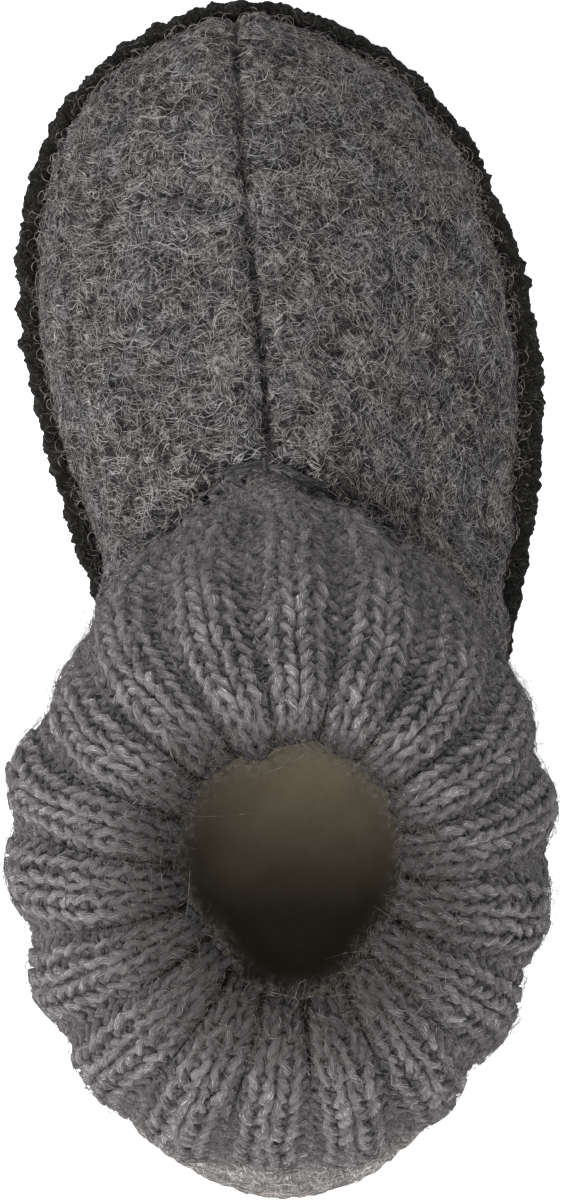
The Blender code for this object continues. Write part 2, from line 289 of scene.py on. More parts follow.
stud_radii = np.broadcast_to(np.array([1.0, 1.0, 0.75]) * STUD_RADIUS, stud_paths.shape[:2])
tread = strand_piece("sole_studs", stud_paths, stud_radii, np.array([0.0, 1.0, 0.0]), STUD_SIDES)


class Thread:
    """A socket of a material's nodes, so that shader maths reads as plain expressions."""

    def __init__(self, tree, socket):
        self.tree = tree
        self.socket = socket

    def node(self, kind, settings=None, inputs=None, output=0):
        """Add a node: its settings first, then its inputs by name or number."""
        made = self.tree.nodes.new(kind)
        for name, value in (settings or {}).items():
            setattr(made, name, value)
        for name, value in (inputs or {}).items():
            if isinstance(value, Thread):
                self.tree.links.new(value.socket, made.inputs[name])
            else:
                made.inputs[name].default_value = value
        return Thread(self.tree, made.outputs[output])

    def math(self, operation, *others):
        """A Math node's operation on this value and others."""
        return self.node("ShaderNodeMath", {"operation": operation}, dict(enumerate((self, *others))))

    def __add__(self, other):
        return self.math("ADD", other)

    def __sub__(self, other):
        return self.math("SUBTRACT", other)

    def __mul__(self, other):
        return self.math("MULTIPLY", other)

    def __rsub__(self, other):
        return self.node("ShaderNodeMath", {"operation": "SUBTRACT"}, {0: other, 1: self})

    __radd__ = __add__
    __rmul__ = __mul__

    def power(self, other):
        """This value raised to another."""
        return self.math("POWER", other)

    def most(self, other):
        """The higher of this value and another."""
        return self.math("MAXIMUM", other)

    def between(self, low, high):
        """Smooth step: 0 at `low` and 1 at `high`, which may be the smaller."""
        return self.node("ShaderNodeMapRange", {"interpolation_type": "SMOOTHSTEP"},
                         {"Value": self, "From Min": low, "From Max": high})

    def blend(self, low, high):
        """Colour from `low` to `high`, which may be threads, as this value goes from 0 to 1."""
        return self.node("ShaderNodeMix", {"data_type": "RGBA"}, {0: self, 6: low, 7: high}, 2)

    def scaled(self, size):
        """This vector times a number."""
        return self.node("ShaderNodeVectorMath", {"operation": "SCALE"}, {0: self, "Scale": size})

    def moved(self, vector):
        """This vector plus another."""
        return self.node("ShaderNodeVectorMath", {"operation": "ADD"}, {0: self, 1: vector})

    def noted(self, name):
        """The number that `note` gave each point."""
        return self.node("ShaderNodeAttribute", {"attribute_name": name}, None, 2)

    def noise(self, size, detail=2.0, output=0):
        """Cloudy noise whose lumps are about `size` across, in this vector's units."""
        return self.node("ShaderNodeTexNoise", None,
                         {"Vector": self, "Scale": 1 / size, "Detail": detail}, output)

    def curled(self, place, size, reach, detail=0.0):
        """This vector pushed about by the colours of cloudy noise at a place: lines drawn on it curl,
        with bends about `size` across and up to about half the `reach` deep."""
        return self.moved(place.noise(size, detail, 1).scaled(reach))

    def parts(self):
        """This vector's first two parts."""
        split = "ShaderNodeSeparateXYZ"
        return self.node(split, None, {0: self}), self.node(split, None, {0: self}, 1)

    def combed(self, gap, thick, length, rarity, turn=(0, 0, 0), shift=(0, 0, 0)):
        """Hairs lying side by side, `gap` apart across their heading, which is turned by angles in
        radians. Each is `thick` and about `length` long, and as bright as its own random number
        raised to `rarity`. The vector's own warp is what curls them."""
        lay = self.node("ShaderNodeMapping", {"vector_type": "TEXTURE"},
                        {"Vector": self, "Location": shift, "Rotation": turn, "Scale": (gap, length, 1.0)})
        across, along = lay.parts()
        line = across.math("FLOOR")
        half = 0.5 * thick / gap
        ridge = (across.math("FRACT") - 0.5).math("ABSOLUTE").between(min(1.5 * half, 0.48), 0.3 * half)
        along = along + line.node("ShaderNodeTexWhiteNoise", {"noise_dimensions": "1D"}, {"W": line}) * 37.0
        number = line.node("ShaderNodeCombineXYZ", None, {0: line, 1: along.math("FLOOR")})
        tone = number.node("ShaderNodeTexWhiteNoise", {"noise_dimensions": "2D"}, {"Vector": number})
        ends = (along.math("FRACT") - 0.5).math("ABSOLUTE").between(0.50, 0.30)
        return ridge * ends * tone.power(rarity)

    def tangled(self, ways, **hairs):
        """The brightest of several combed layers, each with its own turn and shift."""
        return brightest([self.combed(turn=turn, shift=shift, **hairs) for turn, shift in ways])

    def layered(self, place, turns, step, bend, whorl=None, **hairs):
        """Layers of combed hairs, each with its own turn and bend and shifted by `step` from the last.
        Where `whorl` is given, as a size, low, high and least share, each shows only where its own
        cloudy noise is high."""
        layers = []
        for number, turn in enumerate(turns):
            shift = tuple(part * number for part in step)
            there = place.moved(shift)
            layer = self.curled(there, *bend).combed(turn=turn, shift=shift, **hairs)
            if whorl:
                size, low, high, least = whorl
                layer = layer * (there.noise(size, 1.0).between(low, high) * (1 - least) + least)
            layers.append(layer)
        return layers


def brightest(layers):
    """The highest of several values."""
    return functools.reduce(Thread.most, layers)


def finish(name, look):
    """Material whose `look` takes the object's place in millimetres, and gives what each of the
    shader's inputs is: a thread or a constant."""
    made = bpy.data.materials.new(name)
    made.use_nodes = True
    tree = made.node_tree
    shader = tree.nodes["Principled BSDF"]
    place = Thread(tree, tree.nodes.new("ShaderNodeTexCoord").outputs["Object"]).scaled(1000.0)
    for label, value in look(place).items():
        if isinstance(value, Thread):
            tree.links.new(value.socket, shader.inputs[label])
        else:
            shader.inputs[label].default_value = value
    return made


def relief(height, depth):
    """Bump whose height runs from 0 to 1 over `depth` metres."""
    return height.node("ShaderNodeBump", None, {"Height": height, "Distance": depth, "Strength": 1.0})


def rubber(place):
    """Matt black rubber, dusted grey where it scuffs."""
    grain = place.noise(0.5, 3.0)
    dust = place.noise(9.0, 4.0).between(0.45, 0.75)
    return {
        "Base Color": (dust * grain).blend((0.016, 0.015, 0.015, 1), (0.060, 0.056, 0.052, 1)),
        "Roughness": grain * 0.25 + 0.62,
        "Normal": relief(grain, 0.00008),
        "Specular IOR Level": 0.35,
    }


rubber_finish = finish("Sole rubber", rubber)
for part in (outsole, tread):
    part.data.materials.append(rubber_finish)
    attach(part, "root")
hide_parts("outsole")

# ---- Felt footbed ---------------------------------------------------------------------------------
# A khaki wool felt insole, cut to fill the floor inside the walls. It is glued to the rubber and is
# pressed a little hollow under heel and ball.

EDGING_WIDTH = 0.0052
WALL_GAP = 0.0005
FELT = 0.0040
FIT = 0.0003
FOOTBED = 0.0045
FOOTBED_UNDER_ROUND = 0.0009
HOLLOW_DEPTH = 0.0007


def pressed(x, y):
    """Two round bell-shaped hollows, under the heel and under the ball."""
    heel = np.exp(-(x ** 2 + (y + 0.34 * LENGTH) ** 2) / 0.024 ** 2)
    ball = np.exp(-((x + 0.004) ** 2 + (y - 0.22 * LENGTH) ** 2) / 0.032 ** 2)
    return HOLLOW_DEPTH * (heel + ball)


def footbed_top(x, y, edge):
    """Top of the footbed: level over the rubber, less its hollows and its rounded rim."""
    flat = lift(y) + SOLE_THICKNESS + FIT + FOOTBED
    return flat - pressed(x, y) - rounding(edge, FOOTBED - FOOTBED_UNDER_ROUND)


def footbed_underside(x, y, edge):
    """Underside of the footbed, flat on the rubber with a small rounded rim."""
    return lift(y) + SOLE_THICKNESS + FIT + rounding(edge, FOOTBED_UNDER_ROUND)


def khaki_felt(place):
    """Khaki felt: fine curled hairs over a darker ground, with a few dark flecks."""
    curl = place.curled(place, size=1.6, reach=1.4, detail=1.0)
    hair = curl.tangled((((0.4, 0.2, 0.2), (3, 8, 1)), ((-0.2, 0.3, 1.9), (40, 2, 9))),
                        gap=0.55, thick=0.13, length=2.6, rarity=2.0)
    fleck = curl.combed(gap=1.6, thick=0.07, length=2.0, rarity=3.0, turn=(0.4, 0.2, 1.0), shift=(11, 5, 2))
    cloud = place.noise(7.0, 4.0)
    ground = cloud.blend((0.121, 0.101, 0.0685, 1), (0.203, 0.177, 0.126, 1))
    felt = (hair * 0.35).blend(ground, (0.245, 0.218, 0.163, 1))
    return {
        "Base Color": (fleck * 0.5).blend(felt, (0.04, 0.034, 0.026, 1)),
        "Roughness": cloud * 0.1 + 0.88,
        "Normal": relief(cloud, 0.0005),
        "Specular IOR Level": 0.1,
    }


footbed = sole_sheet("felt_footbed", EDGING_WIDTH + WALL_GAP + FELT + FIT, footbed_underside, footbed_top)
footbed.data.materials.append(finish("Footbed felt", khaki_felt))
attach(footbed, "root")
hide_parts("insole")

# ---- Boiled-wool upper ----------------------------------------------------------------------------
# Two halves of thick boiled wool, joined by one seam down the middle of the toes, which pulls them
# into soft lips and small puckers. The foot of the wall stands on the rubber inside the edging.

INSTEP_HEIGHT = 0.0640
FELT_COLUMNS = 600
FELT_ROWS = 104
LINING_ROWS = 13
TOE_CROWDING = 0.085
PUCKER_PITCH = 0.0068
PUCKER_HEIGHT = 0.70
HEEL_PALE_FROM = 0.090
HEEL_PALE_OVER = 0.025

# Walls of the upper from the sole's outline at a station up to the collar: collar across (of ball
# width) and along (of length), then of instep height: collar height, rise of the wall before it
# turns in, outward bulge and brow (run of the slope into the collar), and the slope in degrees.
WALLS = {
    "toe tip": (-0.021, 0.096, 1.000, 0.60, 0.02, 0.80, 16),
    "toe inner": (-0.048, 0.095, 0.998, 0.57, 0.02, 0.78, 17),
    "big toe": (-0.076, 0.092, 0.994, 0.52, 0.02, 0.70, 18),
    "inner ball": (-0.118, 0.082, 0.978, 0.44, 0.03, 0.52, 23),
    "inner waist front": (-0.165, 0.061, 0.942, 0.39, 0.04, 0.38, 33),
    "inner waist": (-0.231, 0.031, 0.855, 0.34, 0.04, 0.27, 48),
    "inner waist back": (-0.306, -0.009, 0.728, 0.27, 0.05, 0.20, 66),
    "arch": (-0.334, -0.119, 0.645, 0.22, 0.06, 0.19, 84),
    "inner heel front": (-0.331, -0.237, 0.648, 0.22, 0.08, 0.19, 86),
    "inner heel": (-0.306, -0.340, 0.695, 0.24, 0.08, 0.20, 80),
    "inner heel corner": (-0.212, -0.425, 0.780, 0.25, 0.11, 0.22, 72),
    "heel back": (0.000, -0.4445, 0.840, 0.36, 0.20, 0.26, 60),
    "outer heel corner": (0.212, -0.425, 0.780, 0.25, 0.11, 0.22, 72),
    "outer heel": (0.311, -0.340, 0.695, 0.24, 0.08, 0.20, 80),
    "outer heel front": (0.344, -0.229, 0.640, 0.22, 0.08, 0.19, 86),
    "outer waist": (0.378, -0.119, 0.618, 0.22, 0.06, 0.19, 82),
    "outer waist front": (0.368, -0.022, 0.670, 0.26, 0.05, 0.20, 66),
    "outer ball": (0.245, 0.023, 0.820, 0.34, 0.04, 0.30, 46),
    "little toe": (0.116, 0.064, 0.945, 0.42, 0.03, 0.50, 26),
    "little toe front": (0.067, 0.080, 0.978, 0.48, 0.02, 0.64, 20),
    "toe outer": (0.034, 0.089, 0.990, 0.54, 0.02, 0.74, 18),
    "toe outer tip": (0.002, 0.095, 0.998, 0.58, 0.02, 0.79, 16),
}
wall_knots = [outline_knots[list(OUTLINE).index(name)] for name in WALLS] + [outline_knots[-1]]


def collar(at):
    """Collar line at places round the outline: its points, the felt's heading as it arrives there,
    its outward normal, and the wall's rise, bulge and brow."""
    table = closed_spline(np.array(wall_knots), list(WALLS.values()), at)
    points = table[:, :3] * (BALL_WIDTH, LENGTH, INSTEP_HEIGHT)
    inside = inward(points[:, :2])
    slope = np.radians(table[:, 6])
    heading = np.column_stack([inside * np.cos(slope)[:, None], np.sin(slope)])
    normal = np.column_stack([-inside * np.sin(slope)[:, None], np.cos(slope)])
    rise, bulge, brow = (table[:, 3:6] * INSTEP_HEIGHT).T
    return points, heading, normal, rise, bulge, brow


def felt_wall(at, climb):
    """Outer face of the wall, as rows by columns: quartic Bezier curves from the foot, upright at
    first, out over a knee, and along the collar's slope to the collar."""
    plan = outline(EDGING_WIDTH + WALL_GAP, at)
    into = inward(plan)
    foot = np.column_stack([plan, lift(plan[:, 1]) + SOLE_THICKNESS + FIT])
    top, heading, _, rise, bulge, brow = collar(at)
    upright = foot + np.column_stack([0 * plan, 0.55 * rise])
    knee = foot + np.column_stack([-into * bulge[:, None], rise])
    shoulder = top - heading * brow[:, None]
    t = climb[:, None, None]
    return (foot * (1 - t) ** 4 + upright * 4 * t * (1 - t) ** 3 + knee * 6 * t ** 2 * (1 - t) ** 2
            + shoulder * 4 * t ** 3 * (1 - t) + top * t ** 4)


def facing(cloth):
    """Unit normals of a grid whose columns run round: the way round crossed with the way up."""
    around = np.roll(cloth, -1, axis=1) - np.roll(cloth, 1, axis=1)
    return unit(np.cross(around, np.gradient(cloth, axis=0)))


def waves(points, size, seed, count=22):
    """Soft random hills about `size` across: cosines of random heading, length and phase, summed and
    scaled to a spread of one."""
    draw = np.random.default_rng(seed)
    pace = unit(draw.normal(size=(count, points.shape[-1]))) * (2 * np.pi / size)
    pace = pace * draw.uniform(0.6, 1.5, (count, 1))
    return np.cos(points @ pace.T + draw.uniform(0, 2 * np.pi, count)).sum(axis=-1) / np.sqrt(count / 2)


def hills(points, amount, size, seed):
    """Soft random hills whose spread is an amount."""
    return amount * waves(points, size, seed)


def bell(distance, width):
    """Bell curve of height one, `width` from its middle to where it has fallen to 0.37."""
    return np.exp(-(distance / width) ** 2)


# The centre seam, from the toe's apex back to the throat, and how it bows sideways.
SEAM_TOE = np.array([-0.083 * BALL_WIDTH, 0.492 * LENGTH])
SEAM_THROAT = np.array([-0.018 * BALL_WIDTH, 0.095 * LENGTH])
SEAM_BOW = 1.4


def seam_across(y):
    """The centre seam's place across: a quarter sine to the power of its bow, from throat to toe."""
    share = ramp(y, SEAM_THROAT[1], SEAM_TOE[1] - SEAM_THROAT[1])
    return SEAM_THROAT[0] + (SEAM_TOE[0] - SEAM_THROAT[0]) * np.sin(share * np.pi / 2) ** SEAM_BOW


# Creases: across and along (of ball width and length) at both ends, depth and width in millimetres.
CREASES = {
    "outer flex, behind the toes": (0.10, 0.245, 0.34, 0.200, 0.7, 6.0),
    "inner flex, behind the toes": (-0.36, 0.270, -0.14, 0.225, 0.6, 6.0),
    "outer throat": (0.11, 0.098, 0.20, 0.135, 0.8, 4.5),
    "inner throat": (-0.13, 0.104, -0.25, 0.140, 0.7, 4.5),
    "outer waist": (0.34, 0.060, 0.40, 0.000, 0.8, 4.0),
    "inner waist": (-0.36, 0.080, -0.31, 0.020, 0.7, 4.0),
    "outer heel": (0.34, -0.300, 0.28, -0.390, 0.7, 6.0),
    "inner heel": (-0.33, -0.290, -0.27, -0.380, 0.7, 6.0),
}

# The felt beside the centre seam, in millimetres: how far it stands out, from a bell-shaped band's
# middle at this distance from the seam, and how wide the band is.
SEAM_BANDS = {
    "stitched groove": (-1.3, 0.0, 0.62),
    "drawn-in felt": (-0.9, 0.0, 2.4),
    "soft lips": (0.75, 4.5, 3.0),
}
# The turned foot of the wall: the same, by climb from foot to collar.
FOOT_BANDS = {
    "flange": (1.3, 0.165, 0.036),
    "groove above it": (-2.4, 0.250, 0.024),
}
# The wool's own lumps: height in millimetres, size in metres, and seed.
FELT_LUMPS = {
    "broad": (0.42, 0.024, 1),
    "middling": (0.22, 0.0075, 2),
    "fine": (0.13, 0.0034, 3),
}

# Where the wall's foot is drawn in under the edging, or stands fuller: side, middle along and spread
# along (of length), and the shift outward in millimetres.
FULLNESS = {
    "outer waist": (1, 0.15, 0.14, -1.8),
    "outer toe": (1, 0.345, 0.05, 1.3),
    "toe tip": (0, 0.475, 0.04, -1.1),
}


def felt_relief(cloth, climb):
    """How far the felt stands out from its plain wall: bell-shaped bands along the seam and a sine of
    puckers between them, the ridge of the turned foot, creases as bell-shaped troughs along short
    lines, fuller places as wide bells, and the wool's own lumps."""
    x, y = cloth[..., 0], cloth[..., 1]
    forward = np.clip((y - SEAM_THROAT[1] + 0.004) / 0.006, 0, 1)
    off = np.abs(x - seam_across(y)) * 1000
    side = np.sign(x - seam_across(y))
    raised = sum(high * bell(off - middle, wide) for high, middle, wide in SEAM_BANDS.values())
    near_throat = 0.35 + 0.65 * np.exp(-(y - SEAM_THROAT[1]) / 0.030)
    pucker = np.sin(2 * np.pi * y / PUCKER_PITCH + 0.9 * side + 2.0 * waves(cloth[..., :2], 0.02, 5))
    height = (raised + PUCKER_HEIGHT * pucker * near_throat * bell(off - 2.6, 2.2)) * forward
    ridge = 0.8 + 0.2 * waves(cloth, 0.012, 11)
    turned = 0.45 + 0.55 * ramp(x, 0.020, 0.015) * bell(y - 0.026, 0.052)
    high, middle, wide = FOOT_BANDS["flange"]
    height = height + high * turned * ridge * bell(climb - middle, wide)
    high, middle, wide = FOOT_BANDS["groove above it"]
    height = height + high * turned * bell(climb - middle, wide)
    for x0, y0, x1, y1, depth, width in CREASES.values():
        start = np.array([x0 * BALL_WIDTH, y0 * LENGTH])
        run = np.array([x1 * BALL_WIDTH, y1 * LENGTH]) - start
        share = np.clip(((cloth[..., :2] - start) @ run) / (run @ run), 0, 1)
        gap = np.linalg.norm(cloth[..., :2] - start - share[..., None] * run, axis=-1) * 1000
        height = height - depth * bell(gap, width) + 0.45 * depth * bell(gap - 1.7 * width, 0.8 * width)
    for one_side, middle, spread, shift in FULLNESS.values():
        beside = np.clip(0.5 + one_side * x / 0.03, 0, 1) if one_side else 1.0
        swell = shift * beside * bell(y - middle * LENGTH, spread * LENGTH)
        height = height + swell * bell(climb - 0.10, 0.22)
    calm = 0.35 + 0.65 * ramp(climb, 0.10, 0.25)
    broad, middling, fine = (hills(cloth, *lumps) for lumps in FELT_LUMPS.values())
    height = height + (broad + middling) * calm + fine
    fade = np.clip(climb / 0.04, 0, 1) * np.clip((1 - climb) / 0.03, 0.25, 1)
    return height * fade / 1000


def paler_to_heel(points):
    """From 0 to 1: how much paler the felt is, toward the back of the heel."""
    return ramp(-points[..., 1], HEEL_PALE_FROM, HEEL_PALE_OVER)


def turned_faces(levels, count):
    """Quads between closed rings of points, with the last ring joined back to the first."""
    number = np.arange(levels * count).reshape(levels, count)
    ahead, above = np.roll(number, -1, axis=1), np.roll(number, -1, axis=0)
    return np.stack([number, ahead, np.roll(ahead, -1, axis=0), above], axis=-1).reshape(-1, 4)


# Columns crowd together at the toe, where the centre seam runs.
turn = np.arange(FELT_COLUMNS) / FELT_COLUMNS
felt_places = outline_knots[-1] * (turn - TOE_CROWDING * np.sin(2 * np.pi * turn))
felt_climb = np.linspace(0, 1, FELT_ROWS)
plain_felt = felt_wall(felt_places, felt_climb)
felt_normal = facing(plain_felt)
felt_cloth = plain_felt + felt_normal * felt_relief(plain_felt, felt_climb[:, None])[..., None]
lining_climb = np.linspace(1, 0, LINING_ROWS)
lining = felt_wall(felt_places, lining_climb)
lining = lining - facing(lining[::-1])[::-1] * FELT
rows = np.vstack([felt_cloth, lining])
upper = piece("felt_upper", rows, turned_faces(len(rows), FELT_COLUMNS))
# Painted shade: the felt is darkened along the centre seam's groove, where shade falls.
seam_gap = np.abs(rows[..., 0] - seam_across(rows[..., 1])) * 1000
note(upper, "Seam", bell(seam_gap, 0.70) * ramp(rows[..., 1], SEAM_THROAT[1], 0.003))
note(upper, "PalerToHeel", paler_to_heel(rows))


def boiled_wool(place):
    """Mottled grey boiled wool: pale hairs curl over a dark ground. Six layers of hairs each have
    their own heading and curl and show most where a cloudy mask is high, which leaves whorls; two
    sparser layers of longer hairs lie over them, and all are thinner in loose patches. The wool
    goes from brown-grey to blue-grey, gets painted shade in the seam's groove and is paler at the heel's
    back."""
    curl = place.curled(place, size=3.2, reach=1.3)
    layers = curl.layered(
        place, ((0.2, 0.1, 0.3), (-0.3, 0.4, 1.0), (0.4, -0.2, 1.7), (-0.1, -0.5, 2.3), (0.3, 0.2, 2.9),
                (-0.2, 0.3, 0.6)),
        step=(13.0, 7.0, 29.0), bend=(6.0, 3.3), whorl=(3.2, 0.40, 0.59, 0.05),
        gap=0.20, thick=0.090, length=4.5, rarity=3.1)
    longer = place.layered(place, ((0.1, -0.3, 2.0), (0.25, 0.1, 1.35)), step=(3.0, 17.0, 9.0),
                           bend=(5.5, 5.0), gap=1.4, thick=0.11, length=10.0, rarity=1.4)
    hair = brightest(layers + [layer * 0.9 for layer in longer])
    patch = place.noise(8.0, 3.0).between(0.34, 0.66)
    pill = place.noise(1.7, 2.0).between(0.35, 0.66)
    seam = place.noted("Seam")
    ground = (pill * 0.6 + patch * 0.4).blend((0.0024, 0.0022, 0.0024, 1), (0.0110, 0.0100, 0.0106, 1))
    ground = place.noted("PalerToHeel").blend(ground, (0.095, 0.088, 0.084, 1))
    shade = place.noise(11.0, 2.0).between(0.36, 0.64)
    shade = shade.blend((0.306, 0.280, 0.268, 1), (0.276, 0.269, 0.277, 1))
    shade = place.noted("PalerToHeel").blend(shade, (0.620, 0.590, 0.570, 1))
    # The seam's painted shade keeps the pale hairs from showing in its groove.
    shown = (hair * (patch * 0.45 + 0.80)).between(0, 1) * (1 - seam * 0.75)
    return {
        "Base Color": shown.blend(ground, shade),
        "Roughness": pill * 0.08 + 0.88,
        "Normal": relief(pill, 0.0008),
        "Specular IOR Level": 0.05,
    }


upper.data.materials.append(finish("Boiled wool", boiled_wool))
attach(upper, "root")
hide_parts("upper")

# ---- Nap of the upper -----------------------------------------------------------------------------
# The felt's raised nap: a thin open layer just off the cloth, which carries fine fibres with clear
# air between them and fades out at both ends.

NAP = 0.00030
nap_rows = (felt_cloth + felt_normal * NAP)[::2, ::2]
nap = piece("felt_nap", nap_rows, turned_faces(*nap_rows.shape[:2])[:-nap_rows.shape[1]])
nap_fade = ramp(felt_climb[::2], 0, 0.10) * ramp(1 - felt_climb[::2], 0, 0.05)
note(nap, "Cover", np.repeat(nap_fade, nap_rows.shape[1]))
note(nap, "PalerToHeel", paler_to_heel(nap_rows))


def felt_nap(place):
    """Fine grey fibres of boiled wool that lie in arcs every way, each with its own tone."""
    hair = brightest(place.layered(
        place, ((0.1, 0.2, 0.9), (-0.3, 0.1, 2.2), (0.2, -0.4, 0.1)), step=(5.0, 23.0, 11.0),
        bend=(4.5, 3.4, 0.5), whorl=(4.0, 0.38, 0.60, 0.2), gap=0.28, thick=0.085, length=5.0, rarity=2.6))
    tone = place.noise(1.0, 2.0).between(0.3, 0.7)
    pale = place.noted("PalerToHeel").blend((0.290, 0.271, 0.266, 1), (0.620, 0.595, 0.580, 1))
    return {
        "Base Color": (tone * 0.5 + hair * 0.6).blend((0.030, 0.028, 0.029, 1), pale),
        "Alpha": hair * place.noted("Cover") * 0.85,
        "Roughness": 0.9,
        "Specular IOR Level": 0.05,
    }


nap.data.materials.append(finish("Felt nap", felt_nap))
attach(nap, "root")

# ---- Loose wool of the upper ----------------------------------------------------------------------
# Hairs that boiling left free: most curl flat over the felt, some stand off it, small locks curl
# beside the seam, and short loops hang from the wall's foot over the edging.

HAIR_RADIUS = 0.000040
HAIR_SIDES = 3
LOCK_POINTS = 8
LOCK_PITCH = 0.00022
# About one step of the felt's grid, and how high over the sole the hairs at the foot leave the wall.
FELT_PITCH = 0.0006
FOOT_HAIRS_UP = 0.0114
UP = np.array([0.0, 0.0, 1.0])


def on_cloth(grid, row, column):
    """Grid read between its points: straight blends of the four about each place, columns wrapping."""
    row = np.clip(row, 0, len(grid) - 1.001)
    i, j = np.floor(row).astype(int), np.floor(column).astype(int)
    up, along = (row - i)[..., None], (column - j)[..., None]
    j, after = j % grid.shape[1], (j + 1) % grid.shape[1]
    low = grid[i, j] * (1 - along) + grid[i, after] * along
    return low * (1 - up) + (grid[i + 1, j] * (1 - along) + grid[i + 1, after] * along) * up


def wandering(grid, normal, row, column, length, heading, curl, off, ripple, points=5):
    """Hairs that wander over a cloth grid from their roots: the heading turns evenly by `curl` and
    swings by `ripple` besides, each step is taken in the grid's own spacing, and they stand `off` it
    at mid length."""
    spacing_up = np.linalg.norm(np.gradient(grid, axis=0), axis=-1, keepdims=True)
    spacing_on = np.linalg.norm(np.roll(grid, -1, axis=1) - grid, axis=-1, keepdims=True)
    spacing = np.concatenate([spacing_up, spacing_on], axis=-1)
    share = np.linspace(0, 1, points)
    swing = ripple[:, None] * np.sin(2 * np.pi * share + 40 * ripple[:, None])
    way = heading[:, None] + curl[:, None] * share + swing
    step = length[:, None] / (points - 1)
    size = np.maximum(on_cloth(spacing, row, column), 0.00012)
    up = row[:, None] + np.cumsum(np.sin(way) * step, axis=1) / size[:, :1]
    on = column[:, None] + np.cumsum(np.cos(way) * step, axis=1) / size[:, 1:]
    height = off[:, None] * np.sin(np.pi * share) ** 0.7 + 0.00005
    upright = unit(on_cloth(normal, up, on))
    return on_cloth(grid, up, on) + upright * height[..., None], upright


def tapered(count, radius, draw, points=5):
    """Radii of hairs, drawn round a mean and thinned at both ends."""
    share = np.linspace(0, 1, points)
    return radius * draw.uniform(0.7, 1.35, (count, 1)) * (0.35 + 0.65 * np.sin(np.pi * share) ** 0.6)


def spread_roots(grid, count, draw, wanted):
    """Random rows and columns, kept in proportion to the cloth's area and to a `wanted` share."""
    rows_at = draw.uniform(0, len(grid) - 1.01, 12 * count)
    columns_at = draw.uniform(0, grid.shape[1], 12 * count)
    area = np.linalg.norm(np.cross(np.gradient(grid, axis=0), np.roll(grid, -1, axis=1) - grid), axis=-1)
    chance = on_cloth(area[..., None], rows_at, columns_at)[:, 0]
    chance = chance * wanted(on_cloth(grid, rows_at, columns_at))
    kept = np.flatnonzero(draw.uniform(0, np.quantile(chance, 0.98), chance.size) < chance)[:count]
    return rows_at[kept], columns_at[kept]


def fibre_finish(name, size, high, dark, pale, roughness, shine):
    """Finish of loose wool, paler here and there: cloudy noise goes from its dark to its pale tone."""
    return finish(name, lambda place: {
        "Base Color": place.noise(size, 2.0).between(0.35, high).blend(dark, pale),
        "Roughness": roughness,
        "Specular IOR Level": shine,
    })


draw = np.random.default_rng(21)
felt_hair_finish = fibre_finish("Wool hair", size=1.3, high=0.68, dark=(0.045, 0.042, 0.042, 1),
                                pale=(0.34, 0.320, 0.312, 1), roughness=0.6, shine=0.25)


def on_vamp(points):
    """Share of hairs by place: all over the vamp, fewer beside the throat and round the heel."""
    y = points[..., 1]
    return (0.35 + 0.65 * ramp(y, -0.01, 0.03)) * (1 - 0.6 * bell(y - 0.020, 0.016))


def by_edging(points):
    """Share of hairs by place: only low on the wall beside the edging."""
    return bell(points[..., 2] - 0.0165, 0.004)


def by_seam(points):
    """Share of hairs by place: beside the centre seam."""
    x, y = points[..., 0], points[..., 1]
    return bell(np.abs(x - seam_across(y)) - 0.0045, 0.004) * (y > SEAM_THROAT[1])


def felt_piece(name, paths, radii, upright):
    """One piece of hairs on the upper."""
    made = strand_piece(name, paths, radii, upright, HAIR_SIDES)
    made.data.materials.append(felt_hair_finish)
    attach(made, "root")


def felt_hairs(name, count, length, curl, off, radius, wanted, along=None):
    """One piece of free hairs over the upper, with lengths and curls drawn from ranges. `along`
    spreads their headings about the way round the shoe."""
    row, column = spread_roots(felt_cloth, count, draw, wanted)
    count = len(row)
    heading = draw.uniform(0, 2 * np.pi, count)
    if along is not None:
        heading = np.pi * draw.integers(0, 2, count) + draw.normal(0, along, count)
    paths, upright = wandering(
        felt_cloth, felt_normal, row, column, draw.uniform(*length, count), heading,
        draw.normal(0, curl, count), draw.exponential(off, count), draw.normal(0, 0.5, count))
    felt_piece(name, paths, tapered(count, radius, draw), upright)


def felt_locks(name, count, hairs, wanted):
    """Small locks: hairs side by side that curl together round part of a circle."""
    row, column = spread_roots(felt_cloth, count, draw, wanted)
    count = len(row)
    heading = draw.uniform(0, 2 * np.pi, count)
    curl = draw.uniform(1.8, 4.2, count) * draw.choice([-1, 1], count)
    length = draw.uniform(0.0045, 0.0085, count)
    each = np.repeat(np.arange(count), hairs)
    beside = np.tile(np.arange(hairs) - (hairs - 1) / 2, count)
    aside = beside * LOCK_PITCH * draw.uniform(0.7, 1.3, len(each))
    on = column[each] - np.sin(heading[each]) * aside / FELT_PITCH
    up = row[each] + np.cos(heading[each]) * aside / FELT_PITCH
    paths, upright = wandering(
        felt_cloth, felt_normal, up, on, length[each] * draw.uniform(0.8, 1.2, len(each)), heading[each],
        curl[each] * draw.uniform(0.85, 1.15, len(each)), draw.exponential(0.00025, len(each)),
        draw.normal(0, 0.15, len(each)), LOCK_POINTS)
    felt_piece(name, paths, tapered(len(each), HAIR_RADIUS, draw, LOCK_POINTS), upright)


